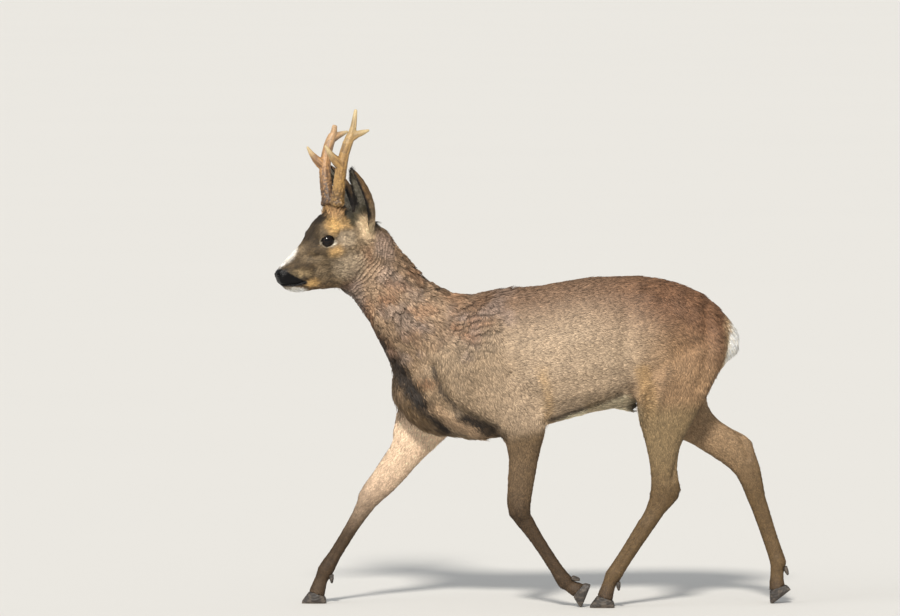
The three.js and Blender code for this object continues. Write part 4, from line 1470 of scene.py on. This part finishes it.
def hoof_material():
    """Keratin of a hoof, worn by walking: fibres run down from the hair line, and growth rings go
    round. It gives a dull black that greys where it is scuffed."""
    material, tree, shader, place = new_material("worn_hoof_keratin", inputs={"IOR": 1.54})
    stain = add_node(tree, "ShaderNodeAttribute", attribute_name="stain").outputs["Color"]
    # Horn tubules are 0.2 mm thick; they are drawn 0.8 mm wide so that they show.
    fibres = streaks(tree, place, 0.8, 8.0)
    # Scuffs and dirt come in patches of about 6 mm.
    scuffs = add_node(tree, "ShaderNodeTexNoise", {
        "Vector": place, "Scale": grain(6), "Detail": 5.0, "Roughness": 0.6}).outputs["Fac"]
    shade(tree, shader, stain, fibres, (0.3, 0.7), (0.7, 1.3))
    rough = add_node(tree, "ShaderNodeMapRange", {
        "Value": scuffs, "From Min": 0.35, "From Max": 0.65, "To Min": 0.38, "To Max": 0.7})
    tree.links.new(rough.outputs[0], shader.inputs["Roughness"])
    bump = add_node(tree, "ShaderNodeBump", {"Height": fibres, "Distance": 0.0004, "Strength": 0.6})
    tree.links.new(bump.outputs[0], shader.inputs["Normal"])
    return material


# Middle lines of the right antler's parts in the head's axes. The left one mirrors them.
ANTLER_LINES = {
    "beam": ((-82, 28, 71), (-81, 35, 100), (-81, 43, 122), (-79, 50, 148), (-74, 54, 174), (-59, 57, 212)),
    "front": ((-79, 50, 147), (-103, 54, 172), (-114, 55, 189)),
    "top": ((-63, 56, 203), (-55, 56, 224), (-48, 53, 260)),
    "rear": ((-67, 56, 196), (-49, 59, 211), (-25, 64, 219)),
}


# The right antler is a little pinker than the left.
RIGHT_TINT = (1.06, 0.97, 1.12)
# How far the burr's knobs and the hooves' growth rings stand out, in mm.
BURR_HEIGHT, RING_HEIGHT = 1.6, 0.16


class RoeEyes(bpy.types.PropertyGroup):
    """Colours of the eyes."""

    iris: colour_setting("Iris", "Brown of the iris", "#1c1009")
    limbus: colour_setting("Iris edge", "Dark edge of the iris", "#150d08")
    pupil: colour_setting("Pupil", "The level pupil", "#030304")


class RoeAntlers(bpy.types.PropertyGroup):
    """Sizes and colours of the antlers."""

    pearl: FloatProperty(
        name="Pearl height", description="How far the pearls stand out, in mm", default=1.5, min=0, max=4)
    furrow: FloatProperty(
        name="Furrow depth", description="Depth of the lengthwise furrows, in mm", default=1.0, min=0, max=3)
    bone: colour_setting("Bone", "Rubbed ridges and sides", "#ad8750")
    # Laid at half brightness over the beams' feet as well; higher up the right beam's foot it is painted
    # shadow.
    stain: colour_setting("Stain", "Furrows and the right beam's foot", "#4d3828")
    tip: colour_setting("Points", "Polished points", "#c9b488")


class RoeHooves(bpy.types.PropertyGroup):
    """Sizes and colours of the hooves."""

    ring: FloatProperty(
        name="Ring spacing", description="Distance between growth rings, in mm", default=3.2, min=1, max=10)
    horn: colour_setting("Horn", "Wall of the hoof", "#2a241f")
    worn: colour_setting("Worn horn", "Scuffed edges and soles", "#61564a")


class RoeStage(bpy.types.PropertyGroup):
    """The studio."""

    floor: colour_setting("Floor", "The studio's floor", "#d6d4cf")
    sky: FloatProperty(name="Sky", description="Strength of the light all round", default=0.48, min=0)
    key: FloatProperty(name="Key light", description="Strength of the main light", default=3.8, min=0)


class MakeEyes(bpy.types.Operator):
    """Sets a glass eye with a dome over its iris behind each pair of lids"""

    bl_idname = "roe.eyes"
    bl_label = "Eyes"

    def execute(self, context):
        material = glass_eye_material(context.scene.roe_eyes)
        for name, side in SIDES.items():
            work = bmesh.new()
            bmesh.ops.create_uvsphere(work, u_segments=72, v_segments=48, radius=1)
            bmesh.ops.triangulate(work, faces=work.faces)
            mesh = bpy.data.meshes.new(f"glass_eye_{name}")
            work.to_mesh(mesh)
            work.free()
            ball = np.empty(len(mesh.vertices) * 3, np.float32)
            mesh.vertices.foreach_get("co", ball)
            ball = ball.reshape(-1, 3).astype(float)
            outward, long, short = eye_axes(side)
            dome = 0.9 * rise(0.70, 0.92, ball[:, 2])
            axes = np.stack((long, short, outward))
            spread = ball * (EYE_RADIUS - 0.1 + dome)[:, None]
            write_points(mesh, from_head(on_side(EYE_CENTRE, side) + spread @ axes))
            if np.linalg.det(axes) < 0:
                mesh.flip_normals()
            write_vectors(mesh, "gaze", ball)
            mesh.shade_smooth()
            mesh.materials.append(material)
            piece = add_object(f"glass_eye_{name}", mesh)
            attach(piece, "root")
            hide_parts(f"eye_{name}")
        return {"FINISHED"}


class MakeAntlers(bpy.types.Operator):
    """Grows each antler's beam and points together and works pearls and furrows into it"""

    bl_idname = "roe.antlers"
    bl_label = "Antlers"

    def execute(self, context):
        settings = context.scene.roe_antlers
        material = antler_material()
        for name, side in SIDES.items():
            nodes = [f"antler_{name}_{part}" for part in ("beam", "front_tine", "top_tine", "rear_tine")]
            piece = joined_nodes(f"antler_{name}", nodes, swell=0.3)
            mesh = recast(piece, fine=1.1)
            points, _, _ = read_mesh(mesh)
            share = np.full(len(points), HALF_WAY)
            write_points(mesh, relaxed(points, edges_of(mesh), share, rounds=6))
            points, normals, _ = read_mesh(mesh)
            height, colours = self.worked(points, side, settings)
            write_points(mesh, points + normals * height[:, None])
            paint(mesh, "stain", colours)
            mesh.materials.append(material)
            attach(piece, "root")
            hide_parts(*nodes)
        return {"FINISHED"}

    def worked(self, points, side, settings):
        """The relief's height at each point in mm, and the stain."""
        head = to_head(points) * np.array([1, side, 1])
        away = np.full(len(points), np.inf)
        run = np.zeros(len(points))
        direction = np.zeros((len(points), 3))
        for name, line in ANTLER_LINES.items():
            near, along, course = to_path(head, line)
            nearer = near < away
            away[nearer], direction[nearer] = near[nearer], course[nearer]
            run[nearer] = (along if name != "beam" else 0 * along)[nearer]
        up = head[:, 2]
        # Pearls crowd at the beam's foot. Furrows run along it, and fade out towards the points.
        foot = rise(190, 84, up) * (1 - rise(0.0, 0.4, run))
        point = rise(0.45, 1.0, run)
        drawn = head - direction * np.sum(head * direction, axis=1)[:, None] * 0.88
        furrow = cloud(drawn, 3.6, 31 + side) * 0.65 + cloud(drawn, 1.9, 33 + side) * 0.35
        pearl = rise(0.62, 0.2, cells(head / 5.2, 40 + side)[0])
        shown = rise(0.35, 0.75, cloud(head, 15, 50 + side)) * 0.6 + 0.4
        burr = rise(86, 80, up) * rise(66, 72, up)
        knobs = rise(0.7, 0.15, cells(head / 6.5, 60 + side)[0])
        height = settings.pearl * pearl * shown * foot
        height += settings.furrow * (furrow - 0.55) * (1 - 0.7 * point)
        height += BURR_HEIGHT * burr * (knobs - 0.3)
        stain, bone, tip = (np.array(tone) for tone in (settings.stain, settings.bone, settings.tip))
        raised = rise(-0.4, 0.25, height)
        colours = mixed(stain[None], bone[None], raised * 0.75 + 0.25)
        colours = mixed(colours, tip, rise(150, 250, up) * 0.45 * (0.5 + cloud(head, 20, 55)))
        # Both beams are stained dark at the foot. On the right beam the dark reaches higher, and there it is
        # painted shadow over the stain.
        dark = foot * (rise(165, 125, up) * 0.9 if side > 0 else rise(112, 92, up) * 0.6)
        if side > 0:
            colours = colours * RIGHT_TINT
        colours = mixed(colours, stain * 0.5, dark * (1 - 0.5 * pearl))
        return height, mixed(colours, tip, point * 0.9)


class MakeHooves(bpy.types.Operator):
    """Rounds the claws and dewclaws of each foot and cuts growth rings into them"""

    bl_idname = "roe.hooves"
    bl_label = "Hooves"

    def execute(self, context):
        settings = context.scene.roe_hooves
        material = hoof_material()
        for foot in FEET:
            nodes = [
                f"{foot}_{part}_{place}" for part in ("hoof", "dewclaw") for place in ("inner", "outer")]
            piece = joined_nodes(f"hooves_{foot}", nodes, swell=0.0)
            mesh = recast(piece, fine=1.0)
            points, _, triangles = read_mesh(mesh)
            points = relaxed(points, edges_of(mesh), np.full(len(points), HALF_WAY), rounds=4)
            coronet = np.array(LEG_LINES[foot][-1], float)
            away = np.linalg.norm(points - coronet, axis=1) + 1.5 * cloud(points, 9, 71)
            rings = np.sin(away * 2 * math.pi / settings.ring)
            sole = rise(2.5, 0.5, points[:, 2])
            relief = RING_HEIGHT * rings * (1 - sole)
            points = points + normals_of(points, triangles) * relief[:, None]
            points[:, 2] = np.maximum(points[:, 2], 0.0)
            write_points(mesh, points)
            worn = rise(0.45, 0.75, cloud(points, 5, 72)) * 0.5 + sole * 0.6 + 0.15 * (rings > 0.6)
            horn, bare = np.array(settings.horn), np.array(settings.worn)
            paint(mesh, "stain", mixed(np.tile(horn, (len(points), 1)), bare, np.clip(worn, 0, 1)))
            write_vectors(mesh, "lie", unit(points - coronet))
            mesh.materials.append(material)
            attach(piece, "root")
            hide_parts(*nodes)
        return {"FINISHED"}


# ---------- Stage ----------
# Each lamp: the way towards it, its share of the key light's strength, its breadth in degrees and
# its colour.
LAMPS = {
    "key": ((-0.10, -0.82, 0.62), 1.0, 9, (1.0, 0.955, 0.89)),
    "fill": ((-0.85, -0.45, 0.45), 0.18, 40, (0.92, 0.96, 1.0)),
}
SKY_COLOUR = (0.93, 0.96, 1.0)
# Sizes of the stage and places of the camera, in metres. A long lens keeps the view nearly flat.
FLOOR_HALF = 180.0
CAMERA_TARGET = Vector((-0.1664, 0.0120, 0.596))
CAMERA_AWAY = 20.0
CAMERA_HEIGHT = math.radians(3)
LENS = 400.0


class MakeStage(bpy.types.Operator):
    """Lays a pale floor, lights it softly and sets up the camera"""

    bl_idname = "roe.stage"
    bl_label = "Stage"

    def execute(self, context):
        scene, settings = context.scene, context.scene.roe_stage
        floor = add_object("studio_floor", bpy.data.meshes.new("studio_floor"))
        corners = [(x * FLOOR_HALF, y * FLOOR_HALF, 0) for x, y in ((-1, -1), (1, -1), (1, 1), (-1, 1))]
        floor.data.from_pydata(corners, [], [(0, 1, 2, 3)])
        floor.data.materials.append(self.painted_floor(settings))

        world = bpy.data.worlds.new("studio")
        world.use_nodes = True
        background = world.node_tree.nodes["Background"]
        background.inputs["Color"].default_value = (*SKY_COLOUR, 1)
        background.inputs["Strength"].default_value = settings.sky
        scene.world = world
        scene.view_settings.view_transform = "Standard"

        for name, (towards, share, breadth, colour) in LAMPS.items():
            self.add_sun(name, Vector(towards), settings.key * share, breadth, colour)

        camera = bpy.data.objects.new("camera", bpy.data.cameras.new("camera"))
        scene.collection.objects.link(camera)
        back = Vector((0, -math.cos(CAMERA_HEIGHT), math.sin(CAMERA_HEIGHT)))
        camera.location = CAMERA_TARGET + back * CAMERA_AWAY
        camera.rotation_euler = (-back).to_track_quat("-Z", "Y").to_euler()
        camera.data.lens = LENS
        camera.data.sensor_width = 36
        camera.data.clip_start = 0.1
        camera.data.clip_end = 1000
        scene.camera = camera
        return {"FINISHED"}

    def painted_floor(self, settings):
        """Matt emulsion, rolled on a smooth board: an even, pale ground without gloss."""
        material, tree, shader, place = new_material(
            "matt_emulsion", inputs={"Roughness": 0.85, "IOR": 1.5})
        # Roller marks of 3 mm don't show at this distance, so only the clouding of 1.5 m is drawn.
        broad = add_node(tree, "ShaderNodeTexNoise", {"Vector": place, "Scale": grain(1500), "Detail": 2.0})
        paint_colour = add_node(tree, "ShaderNodeRGB")
        paint_colour.outputs[0].default_value = (*settings.floor, 1)
        shade(tree, shader, paint_colour.outputs[0], broad.outputs["Fac"], (0, 1), (0.992, 1.008))
        return material

    def add_sun(self, name, towards, strength, breadth, colour):
        """A lamp too far off for its light to spread."""
        lamp = bpy.data.lights.new(name, "SUN")
        lamp.energy, lamp.angle, lamp.color = strength, math.radians(breadth), colour
        light = bpy.data.objects.new(name, lamp)
        light.rotation_euler = towards.to_track_quat("Z", "Y").to_euler()
        bpy.context.scene.collection.objects.link(light)


class RoePanel(bpy.types.Panel):
    """Lists the steps of the buck and its sizes and colours"""

    bl_idname = "VIEW3D_PT_roe"
    bl_label = "Roe buck"
    bl_space_type = "VIEW_3D"
    bl_region_type = "UI"
    bl_category = "Roe buck"

    def draw(self, context):
        for step, settings in STEPS:
            box = self.layout.box()
            box.operator(step.bl_idname)
            if settings:
                for name in settings[1].__annotations__:
                    box.prop(getattr(context.scene, settings[0]), name)


STEPS = (
    (MakeSkin, ("roe_skin", RoeSkin)),
    (MakeCoat, ("roe_coat", RoeCoat)),
    (MakeEyes, ("roe_eyes", RoeEyes)),
    (MakeAntlers, ("roe_antlers", RoeAntlers)),
    (MakeHooves, ("roe_hooves", RoeHooves)),
    (MakeStage, ("roe_stage", RoeStage)),
)


def register():
    for step, settings in STEPS:
        bpy.utils.register_class(settings[1])
        setattr(bpy.types.Scene, settings[0], PointerProperty(type=settings[1]))
        bpy.utils.register_class(step)
    bpy.utils.register_class(RoePanel)


def unregister():
    bpy.utils.unregister_class(RoePanel)
    for step, settings in reversed(STEPS):
        bpy.utils.unregister_class(step)
        delattr(bpy.types.Scene, settings[0])
        bpy.utils.unregister_class(settings[1])


def main():
    register()
    bpy.ops.roe.skin()
    bpy.ops.roe.coat()
    bpy.ops.roe.eyes()
    bpy.ops.roe.antlers()
    bpy.ops.roe.hooves()
    bpy.ops.roe.stage()


if __name__ == "__main__":
    main()
